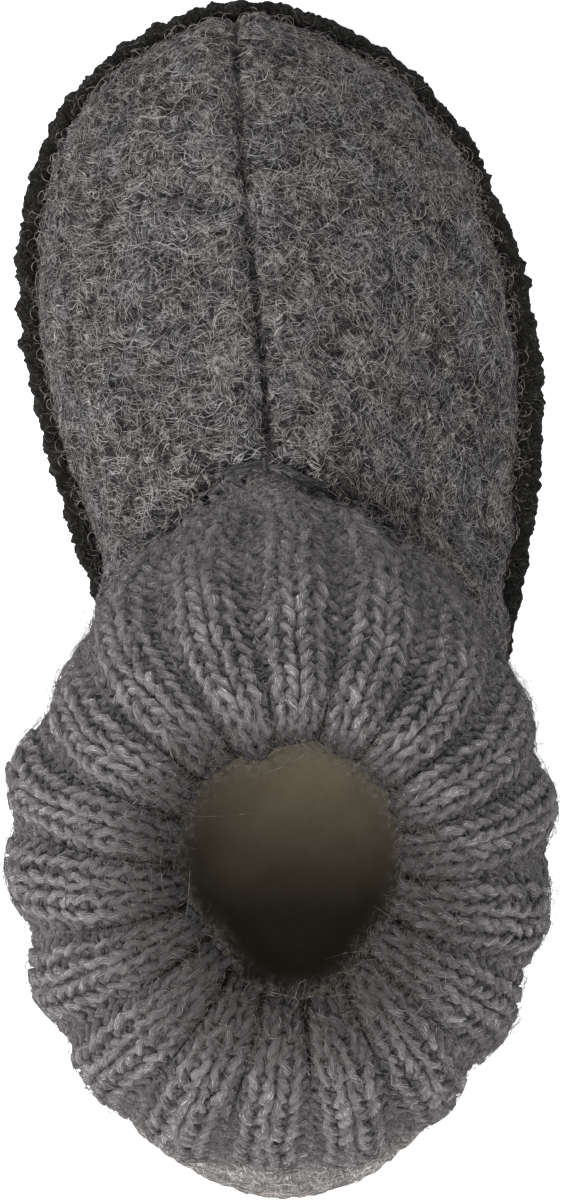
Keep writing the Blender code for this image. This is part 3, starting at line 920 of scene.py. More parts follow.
def loops_at_foot(name, count, size, radius, points=8):
    """Hairs that hang from the wall's foot over the edging: each leaves more or less outward and
    bends round part of a circle of drawn size, which lies level on the edging."""
    column = draw.uniform(0, FELT_COLUMNS, count)
    above = felt_cloth[..., 2] > lift(felt_cloth[..., 1]) + FOOT_HAIRS_UP
    row = np.argmax(above, axis=0)[column.astype(int)].astype(float)
    root = on_cloth(felt_cloth, row, column)
    out = unit(on_cloth(felt_normal, row, column) * (1, 1, 0))
    lead = draw.normal(0, 0.9, (count, 1))
    ahead = out * np.cos(lead) + np.cross(UP, out) * np.sin(lead)
    aside = np.cross(UP, ahead) * draw.choice([-1, 1], (count, 1))
    bow = draw.uniform(*size, count)[:, None, None]
    turned = draw.uniform(1.2, 5.2, (count, 1)) * np.linspace(0, 1, points)
    paths = root[:, None] + bow * (np.sin(turned)[..., None] * ahead[:, None]
                                   + (1 - np.cos(turned))[..., None] * aside[:, None])
    paths[..., 2] += 0.0004 * np.sin(turned / 2) + draw.exponential(0.0003, (count, 1))
    felt_piece(name, paths, tapered(count, radius, draw, points), UP)


felt_hairs("felt_hairs_flat", 2300, length=(0.004, 0.010), curl=1.5, off=0.00040, radius=HAIR_RADIUS,
           wanted=on_vamp)
felt_hairs("felt_hairs_raised", 600, length=(0.004, 0.011), curl=1.2, off=0.0011,
           radius=0.9 * HAIR_RADIUS, wanted=on_vamp)
felt_hairs("felt_hairs_beside_edging", 500, length=(0.004, 0.010), curl=0.9, off=0.0006,
           radius=HAIR_RADIUS, wanted=by_edging, along=0.35)
loops_at_foot("felt_loops_over_edging", 1000, size=(0.0004, 0.0018), radius=0.000046)
felt_locks("felt_locks", 80, hairs=8, wanted=by_seam)

# ---- Crocheted edging -----------------------------------------------------------------------------
# Black wool worked over the joint of sole and felt: close stitches wrapped round a core, every
# second one pulled out into a small scallop. The wool has felted, so its loops are blurred.

EDGING_HEIGHT = 0.0072
STITCH_PITCH = 0.0024
SCALLOP_PITCH = 0.0062
EDGING_STEPS = 2400
EDGING_SIDES = 20
# How far each part of its relief stands out or in, in millimetres.
STITCHES_OUT = 0.34
SCALLOPS_OUT = 0.60
WAIST_LEAN = 1.6
INNER_OUT = 0.45
TOE_IN = 1.25
ALL_IN = 0.62
# The wool's own lumps: height in millimetres, size in metres, and seed.
EDGING_LUMPS = ((0.22, 0.0050, 31), (0.15, 0.0022, 32), (0.09, 0.0011, 33))


def edging_relief(line, around, cord):
    """How far the cord's wool stands out, in millimetres: slanting stitches as rows of round bumps,
    soft uneven scallops on the outside, and the wool's own lumps. On the outer waist the upper side
    leans in over the felt, and at the toe the outside is drawn in."""
    share = np.arange(EDGING_STEPS) / EDGING_STEPS
    stitches = round(outline_knots[-1] / STITCH_PITCH) * share + 0.45 * waves(line, 0.012, 36)
    slant = stitches[:, None] + 0.8 * np.sin(around) + 0.10 * waves(cord, 0.004, 37)
    stitch = np.abs(np.sin(np.pi * slant)) * (0.8 + 0.35 * waves(cord, 0.005, 39))
    scallops = round(outline_knots[-1] / SCALLOP_PITCH) * share + 0.45 * waves(line, 0.012, 38)
    scallop = np.abs(np.sin(np.pi * scallops)) ** 0.7 * (0.85 + 0.45 * waves(line, 0.009, 35))
    scallop = scallop[:, None] * np.clip(np.cos(around), 0, 1)
    lumps = sum(hills(cord, *lump) for lump in EDGING_LUMPS)
    outer_waist = ramp(line[:, 0], 0, 0.03) * bell(line[:, 1] - 0.15 * LENGTH, 0.14 * LENGTH)
    lean = outer_waist[:, None] * np.clip(-np.cos(around), 0, 1) * np.clip(0.4 + np.sin(around), 0, 1)
    inner = np.clip(-np.cos(around), 0, 1) * np.clip(0.6 + np.sin(around), 0, 1)
    toe = TOE_IN * bell(line[:, 1] - 0.5 * LENGTH, 0.06 * LENGTH)[:, None] * np.clip(np.cos(around), 0, 1)
    return (STITCHES_OUT * stitch + SCALLOPS_OUT * scallop + lumps + WAIST_LEAN * lean
            + INNER_OUT * inner - toe - ALL_IN)


# An oval section carried round the sole, half its width inside the outline and riding on the sole.
edging_at = places_round(EDGING_STEPS)
edging_line = outline(EDGING_WIDTH / 2, edging_at)
edging_out = -inward(edging_line)
edging_mid = lift(edging_line[:, 1]) + SOLE_THICKNESS + FIT + EDGING_HEIGHT / 2
edging_line = np.column_stack([edging_line, edging_mid])
around = 2 * np.pi * np.arange(EDGING_SIDES) / EDGING_SIDES
section = np.stack([
    edging_out[:, None, 0] * np.cos(around), edging_out[:, None, 1] * np.cos(around),
    np.broadcast_to(np.sin(around), (EDGING_STEPS, EDGING_SIDES))], axis=-1)
cord = edging_line[:, None] + section * (EDGING_WIDTH / 2, EDGING_WIDTH / 2, EDGING_HEIGHT / 2)
cord = cord + section * edging_relief(edging_line, around, cord)[..., None] / 1000
edging = piece("edging", cord.swapaxes(0, 1), turned_faces(EDGING_SIDES, EDGING_STEPS))


def black_wool(place):
    """Matt black wool: fine curled fibres, with a few greyer hairs caught in it."""
    fibre = place.curled(place, size=2.2, reach=2.4).tangled(
        (((0.3, 0.2, 0.5), (3, 5, 7)), ((-0.2, 0.4, 2.0), (9, 1, 4))),
        gap=0.40, thick=0.17, length=3.0, rarity=2.4)
    hair = place.curled(place, size=5.0, reach=9.0).combed(
        gap=1.3, thick=0.12, length=5.0, rarity=2.6, turn=(0.5, -0.3, 1.2), shift=(4, 4, 11))
    lump = place.noise(0.9, 3.0).between(0.35, 0.7)
    ground = (0.25 + fibre) * (lump * 0.7 + 0.3)
    ground = ground.blend((0.0022, 0.0021, 0.0020, 1), (0.062, 0.059, 0.055, 1))
    return {
        "Base Color": hair.blend(ground, (0.15, 0.142, 0.135, 1)),
        "Roughness": lump * 0.1 + 0.85,
        "Normal": relief(lump, 0.0011),
        "Specular IOR Level": 0.06,
    }


edging.data.materials.append(finish("Edging wool", black_wool))
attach(edging, "root")
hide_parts("edge_binding")

# ---- Ribbed cuff ----------------------------------------------------------------------------------
# Chunky grey wool in a two-and-two rib, knitted from the felt's collar up over the ankle, gathered
# to a small mouth and turned in over its rim. A firm inner layer of the same knit lies under it,
# painted dark as shade where it shows between the loops.

RIBS = 18
COLUMNS = 4 * RIBS
COURSES = 28
KNIT = 0.0070
KNIT_STEP = 0.0015
SEAM_GAP = 0.0005
SEAM_STEPS = 1600
YARN_SINK = 0.0014
# A loop's points, its sway and reach in stitches and its depth, and the yarn's radius low down and
# at the mouth.
LOOP_POINTS = 10
LOOP_SWAY = 0.24
LOOP_REACH = 0.80
LOOP_DEPTH = 0.00085
YARN_LOW = 0.00098
YARN_MOUTH = 0.00084
SEAM_DIP = 0.0016
CLOTH_STEP = 8
# How unevenly the loops lie: amount, size in stitches, and seed.
UNEVEN_LOOPS = {
    "sway": (0.025, 3.1, 51),
    "column": (0.045, 4.3, 52),
    "reach": (0.06, 2.6, 53),
    "row": (0.06, 7.0, 54),
    "depth": (0.00022, 2.1, 55),
    "thickness": (0.13, 1.5, 56),
}

# Rings of the cuff above its seam, each an oval round its own middle, in metres: middle across and
# along, half width, reach forward and back, height at the front, the sides and the back, and the
# share it takes of the mouth's unevenness.
CUFF_RINGS = {
    "swell": (0.0005, -0.0450, 0.0475, 0.0620, 0.0670, 0.0760, 0.0600, 0.0660, 0.0),
    "bulge": (-0.0002, -0.0450, 0.0502, 0.0540, 0.0632, 0.0880, 0.0800, 0.0830, 0.0),
    "shoulder": (0.0004, -0.0465, 0.0435, 0.0400, 0.0500, 0.1050, 0.1020, 0.1040, 0.0),
    "crest": (0.0015, -0.0480, 0.0290, 0.0290, 0.0320, 0.1160, 0.1155, 0.1170, 0.25),
    "brim": (0.0016, -0.0484, 0.0235, 0.0247, 0.0258, 0.1158, 0.1153, 0.1168, 0.6),
    "lip": (0.0018, -0.0485, 0.0202, 0.0218, 0.0217, 0.1108, 0.1103, 0.1118, 1.0),
    "turn under": (0.0016, -0.0485, 0.0235, 0.0250, 0.0260, 0.1062, 0.1057, 0.1072, 1.0),
    "inside": (0.0010, -0.0480, 0.0300, 0.0300, 0.0340, 0.1060, 0.1050, 0.1060, 0.4),
}
# The inner layer runs on down inside from there.
LINING_RINGS = {
    "inside shoulder": (0.0004, -0.0465, 0.0380, 0.0350, 0.0440, 0.0985, 0.0960, 0.0980, 0.0),
    "inside bulge": (-0.0002, -0.0450, 0.0432, 0.0470, 0.0555, 0.0850, 0.0780, 0.0800, 0.0),
    "inside swell": (0.0005, -0.0450, 0.0400, 0.0540, 0.0600, 0.0690, 0.0560, 0.0620, 0.0),
}

# Where the mouth is drawn in between its ribs: direction and spread in degrees, counted from the
# right-hand side toward the toe, and depth as a share of its radius.
DRAWN_IN = {
    "front left": (106, 14, 0.12),
    "rear left": (221, 25, 0.16),
    "rear right": (322, 20, 0.10),
}

# Where the cuff's side is flatter than its oval: the same, as a share of the oval's radius.
FLATTER = {
    "inner front": (147, 13, 0.055),
    "heel": (270, 17, 0.052),
}
RIB_TWIST = np.radians(5)
# Half a rib's width over its knit columns at the bulge, and how much more it is at the crest, as
# shares of the rib's pitch; and how far the ribs crowd toward the sides near the seam, in radians.
KNIT_SHARE = 0.32
KNIT_SHARE_MORE = 0.065
RIB_CROWDING = 0.14
# Height of the ribs at the seam and how much more it is above, in millimetres; and how far they
# sink again past the shoulder, in metres.
RIB_LOW = 0.35
RIB_MORE = 0.95
RIB_SINK = 0.00075

seam, seam_heading, seam_normal, *_ = collar(places_round(SEAM_STEPS))
seam = seam + seam_heading * SEAM_GAP + seam_normal * KNIT_STEP
seam_in = seam - seam_normal * KNIT
ankle = np.array(CUFF_RINGS["bulge"][:2])
bearing = np.unwrap(np.arctan2(seam[:, 1] - ankle[1], seam[:, 0] - ankle[0]))
front = bearing[0]


def at_bearing(values, angle):
    """Values along the seam, read where it crosses each angle round the ankle."""
    wrapped = front + np.mod(angle - front, 2 * np.pi)
    wrap = np.append(bearing, front + 2 * np.pi)
    return np.stack([np.interp(wrapped, wrap, np.append(v, v[0])) for v in values.T], axis=-1)


def oval(ring, angle):
    """A ring at angles round it: its height goes from the sides' to the end's with the sine squared,
    and it is drawn in where the mouth is, or flatter where the side is, by bells of the angle."""
    cx, cy, half, ahead, behind, z_front, z_side, z_back, uneven = ring
    side, run = np.cos(angle), np.sin(angle)
    height = z_side + np.where(run > 0, z_front - z_side, z_back - z_side) * run ** 2
    turned = np.mod(np.degrees(angle), 360)
    narrow = 1 - uneven * sum(deep * bell(turned - middle, wide) for middle, wide, deep in DRAWN_IN.values())
    for middle, wide, deep in FLATTER.values():
        narrow = narrow - (1 - uneven) * deep * bell(turned - middle, wide)
    side, run = side * narrow, run * narrow
    return np.stack([cx + half * side, cy + np.where(run > 0, ahead, behind) * run, height], axis=-1)


even = front + np.arange(COLUMNS) * 2 * np.pi / COLUMNS
ring_points = np.array([at_bearing(seam, even), *(oval(ring, even) for ring in CUFF_RINGS.values())])
reach = np.concatenate([[0], np.cumsum(np.linalg.norm(np.diff(ring_points, axis=0), axis=2).mean(axis=1))])
bulge_reach, crest_reach = reach[2], reach[4]


def smooth(value, low, high):
    """Smooth step from 0 at `low` to 1 at `high`."""
    share = ramp(value, low, high - low)
    return share ** 2 * (3 - 2 * share)


def column_angle(column, at):
    """Angle round the ankle of a stitch column. Knit columns are wider than the sunken purl ones, the
    more so toward the mouth; near the seam the ribs spread evenly along the collar."""
    wide = KNIT_SHARE + KNIT_SHARE_MORE * smooth(at, bulge_reach, crest_reach)
    rib = np.floor((column + 1) / 4)
    q = column - 4 * rib - 1
    inside = np.clip(q, -1, 1) * wide
    outside = np.sign(q) * np.maximum(np.abs(q) - 1, 0) * (0.5 - wide)
    turned = 2 * np.pi / RIBS * (rib + inside + outside)
    crowded = RIB_CROWDING * (1 - smooth(at, 0.2 * bulge_reach, 1.1 * bulge_reach))
    return front + turned - crowded * np.sin(2 * turned) - RIB_TWIST * smooth(at, 0.0, bulge_reach)


def rib_top(at):
    """Height of the ribs' tops at distances from the seam, low where they leave it."""
    return 0.001 * (RIB_LOW + RIB_MORE * smooth(at, 0.15 * bulge_reach, 0.9 * bulge_reach))


def rib_height(column, at):
    """How far the ribs stand up: a rounded ridge over each pair of knit columns."""
    q = np.mod(column - 1 + 2, 4) - 2
    ridge = np.cos(np.pi * np.clip(np.abs(q) / 1.75, 0, 1))
    return (rib_top(at) - RIB_SINK * smooth(at, reach[3], reach[6])) * ridge


def knit_cloth(column, at):
    """The cuff's plain outer face at columns and distances from the seam (rows by columns): cubic
    Hermite curves from ring to ring, whose slopes come from the rings either side."""
    angle = column_angle(column, at[:, None])
    rings = np.stack([at_bearing(seam, angle), *(oval(ring, angle) for ring in CUFF_RINGS.values())])
    slope = np.gradient(rings, reach, axis=0)
    slope[0] = at_bearing(seam_heading, angle)
    i = np.clip(np.searchsorted(reach, at, side="right") - 1, 0, len(reach) - 2)
    here = np.arange(len(at))
    span = reach[i + 1] - reach[i]
    share = ((at - reach[i]) / span)[:, None, None]
    return hermite(share, span[:, None, None], rings[i, here], rings[i + 1, here], slope[i, here],
                   slope[i + 1, here])


def turned_over(at, x, y):
    """From 0 to 1: how far the knit has turned in over the rim and lies in its own shade, which is
    painted onto its yarn and haze; sooner at the back and on the inner side."""
    early = np.maximum(smooth(-y, 0.030, 0.060), 0.85 * smooth(-x, 0.000, 0.020))
    return smooth(at, reach[4] - 0.001 - 0.011 * early, reach[6] - 0.0005 - 0.003 * early)


def throat_gap(points):
    """From 0 to 1: the hollow in the knit just behind the collar at the throat, which is dug into the
    knit and painted on its yarn as shade.
    """
    x, y = points[..., 0] + 0.0015, points[..., 1] - WALLS["toe tip"][1] * LENGTH
    return bell(x, 0.0075) * bell(y + 0.0022 + 24 * x ** 2, 0.0016)


cloth_columns = np.arange(COLUMNS * CLOTH_STEP) / CLOTH_STEP
cloth_at = np.linspace(0, reach[-1], 4 * COURSES + 1)
knit_plain = knit_cloth(cloth_columns, cloth_at)
knit_normal = facing(knit_plain)
sway = 0.0008 * waves(knit_plain, 0.030, 41)
knit_base = knit_plain + knit_normal * (
    rib_height(cloth_columns, cloth_at[:, None]) - YARN_SINK + 0.5 * sway
    - SEAM_DIP * (1 - smooth(cloth_at, 0.0, 0.012))[:, None]
    - 0.0012 * throat_gap(knit_plain))[..., None]
knit_facing = facing(knit_base)

# Inner layer: under the loops outside, over the rim, and down inside to the felt.
backing_columns = slice(None, None, 2)
backing_out = (knit_base - knit_facing * 0.0013)[::2, backing_columns]
inner_angle = column_angle(cloth_columns[backing_columns], np.array([[reach[4]]]))
inner_rings = np.array([*(oval(ring, inner_angle[0]) for ring in LINING_RINGS.values()),
                        at_bearing(seam_in, inner_angle[0])])
inner_mid = (inner_rings[:-1] + inner_rings[1:]) / 2
inner_rows = [row for pair in zip(inner_rings[:-1], inner_mid) for row in pair]
backing_rows = np.vstack([backing_out, inner_rows, inner_rings[-1:]])
backing = piece("cuff_lining", backing_rows, turned_faces(len(backing_rows), backing_rows.shape[1]))
# The inner layer's outside carries painted shade; its inside carries a paler painted tone as light.
inside = np.arange(len(backing_rows)) >= len(backing_out) - 6
note(backing, "Inside", np.repeat(inside, backing_rows.shape[1]))


def yarn_course(course):
    """One course of loops round the cuff, as columns and rows of the cloth and height off it. With t
    from 0 to a full turn in each stitch, it goes along as t / turn + sway * sin 2t, up as
    -reach * cos t, and out as -depth * cos 2t, which brings the legs forward; purl columns send
    them back."""
    t = 2 * np.pi * np.arange(COLUMNS * LOOP_POINTS) / LOOP_POINTS
    q = np.mod(t / (2 * np.pi) - 1 + 2, 4) - 2
    face = np.clip((1 - np.abs(q)) * 6, -1, 1)
    place = np.stack([t / (2 * np.pi) * 1.7, np.full(t.shape, course * 2.9)], axis=-1)
    off = {name: hills(place, *spread) for name, spread in UNEVEN_LOOPS.items()}
    column = t / (2 * np.pi) + (LOOP_SWAY + off["sway"]) * np.sin(2 * t) + off["column"]
    up = -(LOOP_REACH + off["reach"]) * np.cos(t) + off["row"]
    depth = -LOOP_DEPTH * np.cos(2 * t) * face * np.where(face < 0, 1.25, 1) + off["depth"]
    thick = (1 + off["thickness"]) * (0.94 + 0.06 * face)
    return column, course + 0.5 + up, depth, thick


courses = [yarn_course(course) for course in range(COURSES)]
columns, ups, depths, thicks = (np.array(v) for v in zip(*courses))
cloth_row = np.clip(ups * 4, 0.0, 4 * COURSES)
cloth_column = columns * CLOTH_STEP
yarn_out = unit(on_cloth(knit_facing, cloth_row, cloth_column))
yarn_paths = on_cloth(knit_base, cloth_row, cloth_column) + yarn_out * depths[..., None]
yarn_share = smooth(ups / COURSES * reach[-1], bulge_reach, crest_reach)
yarn_radii = thicks * (YARN_LOW + (YARN_MOUTH - YARN_LOW) * yarn_share)

# Painted shade on each point of the yarn's surface, from 0 to 1: from how deep it lies under the
# tops of the loops on the ribs, how far it has turned in over the rim, and the throat's hollow.
YARN_SIDES = 5
loop_at = ups / COURSES * reach[-1]
yarn_turn = 2 * np.pi * np.arange(YARN_SIDES) / YARN_SIDES + np.pi
under_rib = 0.62 * (rib_height(columns, loop_at) - rib_top(loop_at))
standing = (under_rib + depths)[..., None] + yarn_radii[..., None] * np.cos(yarn_turn)
yarn_shade = smooth(-standing, -0.0012, 0.0024)
x, y, z = np.moveaxis(yarn_paths, -1, 0)
# Painted shade also falls where the knit turns in over the rim and in the hollow at the throat.
rim_shade = turned_over(loop_at, x, y)[..., None]
throat = throat_gap(yarn_paths)[..., None]
# Low on the front the painted shade is drawn toward an even middle value.
low_front = (smooth(y, -0.030, -0.005) * smooth(-z, -0.100, -0.085))[..., None]
yarn_shade = yarn_shade + 0.55 * low_front * (0.30 - yarn_shade)
yarn_shade = np.maximum(np.maximum(yarn_shade, 0.92 * rim_shade), 0.9 * throat)


# Turns and shifts of the fuzz's layers.
FUZZ_WAYS = (((0.3, -0.2, 0.9), (7, 2, 5)), ((-0.2, 0.3, 2.4), (1, 8, 3)), ((0.5, 0.1, 0.0), (9, 4, 1)))


def yarn_skin(place, girth, lean):
    """Place on a strand for fibres to be combed on: across it by turns of its girth, leaning with the
    way along as they wind, and along it. Gives the turns too."""
    along, turns = place.node("ShaderNodeUVMap", {"uv_map": "Lay"}).parts()
    return place.node("ShaderNodeCombineXYZ", None, {0: turns * girth + along * lean, 1: along}), turns


def grey_yarn(place):
    """Grey wool yarn: fibres wind slowly along it, each with its own tone, with a painted highlight on
    the outward side and painted shade deep between the loops; finer fuzz curls across them."""
    skin, turns = yarn_skin(place, girth=5.6, lean=0.22)
    skin = skin.curled(place, size=1.4, reach=0.9)
    streak = skin.combed(gap=0.46, thick=0.24, length=2.6, rarity=1.5)
    finer = skin.combed(gap=0.34, thick=0.15, length=2.2, rarity=1.6, turn=(0, 0, 0.16), shift=(5, 3, 0))
    streak = streak.most(finer * 0.9)
    curl = place.curled(place, size=2.4, reach=2.4)
    fuzz = curl.tangled(FUZZ_WAYS, gap=0.5, thick=0.11, length=4.0, rarity=1.8)
    patch = place.noise(4.0, 2.0).between(0.3, 0.7)
    mottle = place.noise(0.8, 2.0).between(0.3, 0.7) * 0.35 + 0.72
    # Painted shade from the yarn's noted shade, and a painted highlight along each strand's outward crest.
    lit = 1 - place.noted("YarnShade")
    lit = lit * lit * 0.72 + 0.28
    painted_crest_light = (turns * np.pi).math("SINE").power(1.8) * 0.50 + 0.50
    tone = ((streak * 0.80 + patch * 0.20 + 0.12) * painted_crest_light * mottle).most(fuzz * 0.5) * lit
    return {
        "Base Color": tone.blend((0.009, 0.0085, 0.0092, 1), (0.430, 0.413, 0.419, 1)),
        "Roughness": patch * 0.1 + 0.84,
        "Normal": relief(streak, 0.00025),
        "Specular IOR Level": 0.08,
    }


def knit_shadow(place):
    """The same wool: painted dark as shade where it is seen between the loops, and inside the cuff as
    brushed rib, painted paler as the light that reaches in there.
    """
    loop = place.noise(1.4, 3.0)
    curl = place.curled(place, size=2.4, reach=2.4)
    hair = curl.tangled(FUZZ_WAYS[:2], gap=0.5, thick=0.14, length=5.0, rarity=1.6)
    tone = loop * 0.5 + hair * 0.5
    outside = tone.blend((0.020, 0.0190, 0.0200, 1), (0.215, 0.204, 0.203, 1))
    within = tone.blend((0.100, 0.092, 0.084, 1), (0.260, 0.244, 0.232, 1))
    return {
        "Base Color": place.noted("Inside").blend(outside, within),
        "Roughness": loop * 0.1 + 0.85,
        "Normal": relief(loop, 0.0012),
        "Specular IOR Level": 0.08,
    }


yarn_finish = finish("Cuff yarn", grey_yarn)
backing.data.materials.append(finish("Cuff yarn in shadow", knit_shadow))


def knit_part(name, part):
    """One piece of the cuff's courses: closed strands, noted with their painted shade."""
    made = strand_piece(name, yarn_paths[part], yarn_radii[part], yarn_out[part], YARN_SIDES, closed=True)
    made.data.materials.append(yarn_finish)
    note(made, "YarnShade", yarn_shade[part])
    return made


lower = knit_part("knit_lower_courses", slice(None, COURSES // 2))
upper_knit = knit_part("knit_upper_courses", slice(COURSES // 2, None))
for part in (backing, lower, upper_knit):
    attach(part, "root")
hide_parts("knit_cuff")

# ---- Throat stitches ------------------------------------------------------------------------------
# Where the centre seam ends, the felt is caught down to the cuff with dark grey yarn: a fan of long
# stitches along the collar to either side, and one short upright stitch over the seam.

THREAD = 0.00034
THREAD_SIDES = 7
THREAD_POINTS = 12
# Each row of stitches: its number, the places round the collar it runs between (of the outline), and
# how far its first and last stitch stand toward the cuff at each end, in millimetres.
THROAT_ROWS = {
    "inner fan": (6, 0.122, 0.3, 1.0, 0.010, -1.3, 0.9),
    "outer fan": (6, -0.026, -0.5, 0.5, -0.122, -1.6, 0.7),
    "upright stitch": (3, 0.012, -1.6, -1.6, 0.006, 2.2, 2.2),
}

throat_draw = np.random.default_rng(71)
throat_paths = []
for number, begin, near_first, near_last, end, far_first, far_last in THROAT_ROWS.values():
    share = np.linspace(0, 1, THREAD_POINTS)
    for each in np.linspace(0, 1, number):
        place = begin + (end - begin) * share + (0.004 * each if abs(begin - end) < 0.01 else 0)
        line, line_heading, line_normal, *_ = collar(np.mod(place, 1) * outline_knots[-1])
        near = near_first + (near_last - near_first) * each
        far = far_first + (far_last - far_first) * each
        back = near + (far - near) * share + 0.12 * throat_draw.normal() * np.sin(np.pi * share)
        over = 0.5 + (1.1 + 0.25 * throat_draw.normal()) * np.sin(np.pi * share) ** 0.6
        throat_paths.append(line + (line_heading * back[:, None] + line_normal * over[:, None]) / 1000)
throat_paths = np.array(throat_paths)
throat_radii = THREAD * throat_draw.uniform(0.8, 1.25, (len(throat_paths), 1)) * np.ones(THREAD_POINTS)
throat = strand_piece("throat_stitches", throat_paths, throat_radii, np.array([0.0, 0.2, 1.0]),
                      THREAD_SIDES)


def dark_yarn(place):
    """Dark grey wool thread with paler fibres along it."""
    skin, _ = yarn_skin(place, girth=2.2, lean=0.3)
    streak = skin.combed(gap=0.22, thick=0.15, length=3.0, rarity=1.2)
    return {
        "Base Color": streak.blend((0.014, 0.0135, 0.0148, 1), (0.125, 0.120, 0.124, 1)),
        "Roughness": streak * 0.1 + 0.82,
        "Normal": relief(streak, 0.00012),
        "Specular IOR Level": 0.08,
    }


throat.data.materials.append(finish("Throat yarn", dark_yarn))
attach(throat, "root")

# ---- Loose wool of the cuff -----------------------------------------------------------------------
# Fuzz that stands off the yarn: short curls over the ribs, fuzz and a few long hairs that reach in
# over the mouth, and hairs of the felt caught on the knit's first courses.

MOUTH_MIDDLE = np.array([*CUFF_RINGS["lip"][:2], 0.0])
knit_hair_face = knit_base + knit_facing * 0.0015
knit_draw = np.random.default_rng(61)
KNIT_HAIR_POINTS = 4

# The wool inside the rim is painted darker and browner, as the shade inside the mouth.
cuff_fuzz_finish = fibre_finish("Cuff fuzz", size=1.3, high=0.70, dark=(0.030, 0.028, 0.029, 1),
                                pale=(0.200, 0.190, 0.190, 1), roughness=0.8, shine=0.1)
shaded_rim_fuzz_finish = fibre_finish("Rim fuzz in painted shade", size=1.1, high=0.75, dark=(0.016, 0.0145, 0.0135, 1),
                               pale=(0.130, 0.120, 0.112, 1), roughness=0.85, shine=0.08)


def instep(points):
    """From 0 to 1: low on the front of the cuff."""
    return ramp(points[..., 1], -0.030, 0.02) * np.clip((0.105 - points[..., 2]) / 0.01, 0, 1)


def on_instep(points):
    """Share of hairs by place: more than twice as many low on the front."""
    return 1 + 1.4 * instep(points)


def cuff_piece(name, paths, radii, upright, look):
    """One piece of hairs on the cuff."""
    made = strand_piece(name, paths, radii, upright, HAIR_SIDES)
    made.data.materials.append(look)
    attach(made, "root")


def knit_hairs(name, count, length, curl, off, radius, up_to=0.84, look=cuff_fuzz_finish):
    """One piece of free hairs over the outside of the cuff, from its seam up to a share of the way."""
    visible = knit_hair_face[:int(up_to * len(knit_hair_face))]
    row, column = spread_roots(visible, count, knit_draw, on_instep)
    count = len(row)
    paths, upright = wandering(
        knit_hair_face, knit_facing, row, column, knit_draw.uniform(*length, count),
        knit_draw.uniform(0, 2 * np.pi, count), knit_draw.normal(0, curl, count),
        knit_draw.exponential(off, count), knit_draw.normal(0, 0.5, count), KNIT_HAIR_POINTS)
    cuff_piece(name, paths, tapered(count, radius, knit_draw, KNIT_HAIR_POINTS), upright, look)


def mouth_hairs(name, count, length, radius, points, look):
    """Hairs that reach in over the mouth from its rim: each leaves along the cloth's own slope, drops
    or lifts a little and bends aside as a quadratic curve."""
    at_rim = knit_draw.uniform(0.70, 0.86, count) * (len(knit_base) - 1)
    column = knit_draw.uniform(0, knit_base.shape[1], count)
    root = on_cloth(knit_base, at_rim, column)
    face = unit(on_cloth(knit_facing, at_rim, column))
    inward_way = unit(MOUTH_MIDDLE - root * (1, 1, 0))
    aside = np.cross(inward_way, UP) * knit_draw.normal(0, 1.0, (count, 1))
    reach_in = knit_draw.exponential(length, (count, 1)) + 0.4 * length
    ahead = unit(inward_way + 0.6 * face + aside) * reach_in
    droop = (aside * 0.9 + [0.0, 0.0, -0.35] + inward_way * knit_draw.normal(0, 0.25, (count, 1))) * reach_in
    share = np.linspace(0, 1, points)[:, None]
    paths = (root + face * 0.0012)[:, None] + ahead[:, None] * share + droop[:, None] * share ** 2
    upright = np.broadcast_to(face[:, None], paths.shape)
    cuff_piece(name, paths, tapered(count, radius, knit_draw, points), upright, look)


knit_hairs("knit_hairs_flat", 4800, length=(0.0020, 0.0055), curl=1.8, off=0.0004, radius=0.000050)
knit_hairs("knit_hairs_raised", 2800, length=(0.0018, 0.0050), curl=1.5, off=0.0008, radius=0.000044)
mouth_hairs("mouth_fuzz", 2000, length=0.0012, radius=0.000050, points=4, look=shaded_rim_fuzz_finish)
mouth_hairs("mouth_hairs", 30, length=0.0034, radius=0.000042, points=8, look=cuff_fuzz_finish)
knit_hairs("felt_hairs_over_knit", 1500, length=(0.0030, 0.0070), curl=1.5, off=0.0007,
           radius=0.000040, up_to=0.20, look=felt_hair_finish)

# ---- Haze of the cuff -----------------------------------------------------------------------------
# Brushed wool stands off the yarn everywhere, too fine and dense to model hair by hair. Two thin
# open layers carry it as fibres with clear air between them, thicker in the grooves between the ribs
# and where the knit turns in, and a fringe of it closes in on the mouth.

# Layers: height over the knit's ground in metres, how opaque the fibres are, and how much of the air
# between them is filled in the grooves.
HAZE_LAYERS = {
    "over loops": (0.0017, 0.29, 0.50),
    "halo": (0.0024, 0.19, 0.0),
}
# How much more opaque the fibres are in the grooves, round the rim and on the instep.
GROOVE_COVER = 0.6
RIM_COVER = 0.22
INSTEP_COVER = 0.20
FRINGE_COLUMNS = 240
FRINGE_STEPS = 10
FRINGE_REACH = 0.0048


def cuff_haze(place):
    """Short curled wool fibres, each with its own tone, over clear air; painted darker and browner
    inside the rim, as shade.
    """
    place = place.moved(place.noted("Layer") * 17.0)
    hair = brightest(place.layered(
        place, [turn for turn, _ in FUZZ_WAYS], step=(7.0, 19.0, 5.0), bend=(2.6, 2.8, 0.5),
        gap=0.36, thick=0.13, length=2.6, rarity=1.8))
    tone = place.noise(1.2, 2.0).between(0.3, 0.7)
    pale = place.noted("Rim").blend((0.260, 0.248, 0.251, 1), (0.085, 0.077, 0.069, 1))
    dark = place.noted("Rim").blend((0.030, 0.028, 0.029, 1), (0.010, 0.009, 0.008, 1))
    return {
        "Base Color": (tone * 0.6 + hair * 0.4).blend(dark, pale),
        "Alpha": (hair + place.noted("Thick")) * place.noted("Cover"),
        "Roughness": 0.9,
        "Specular IOR Level": 0.05,
    }


haze_finish = finish("Cuff haze", cuff_haze)


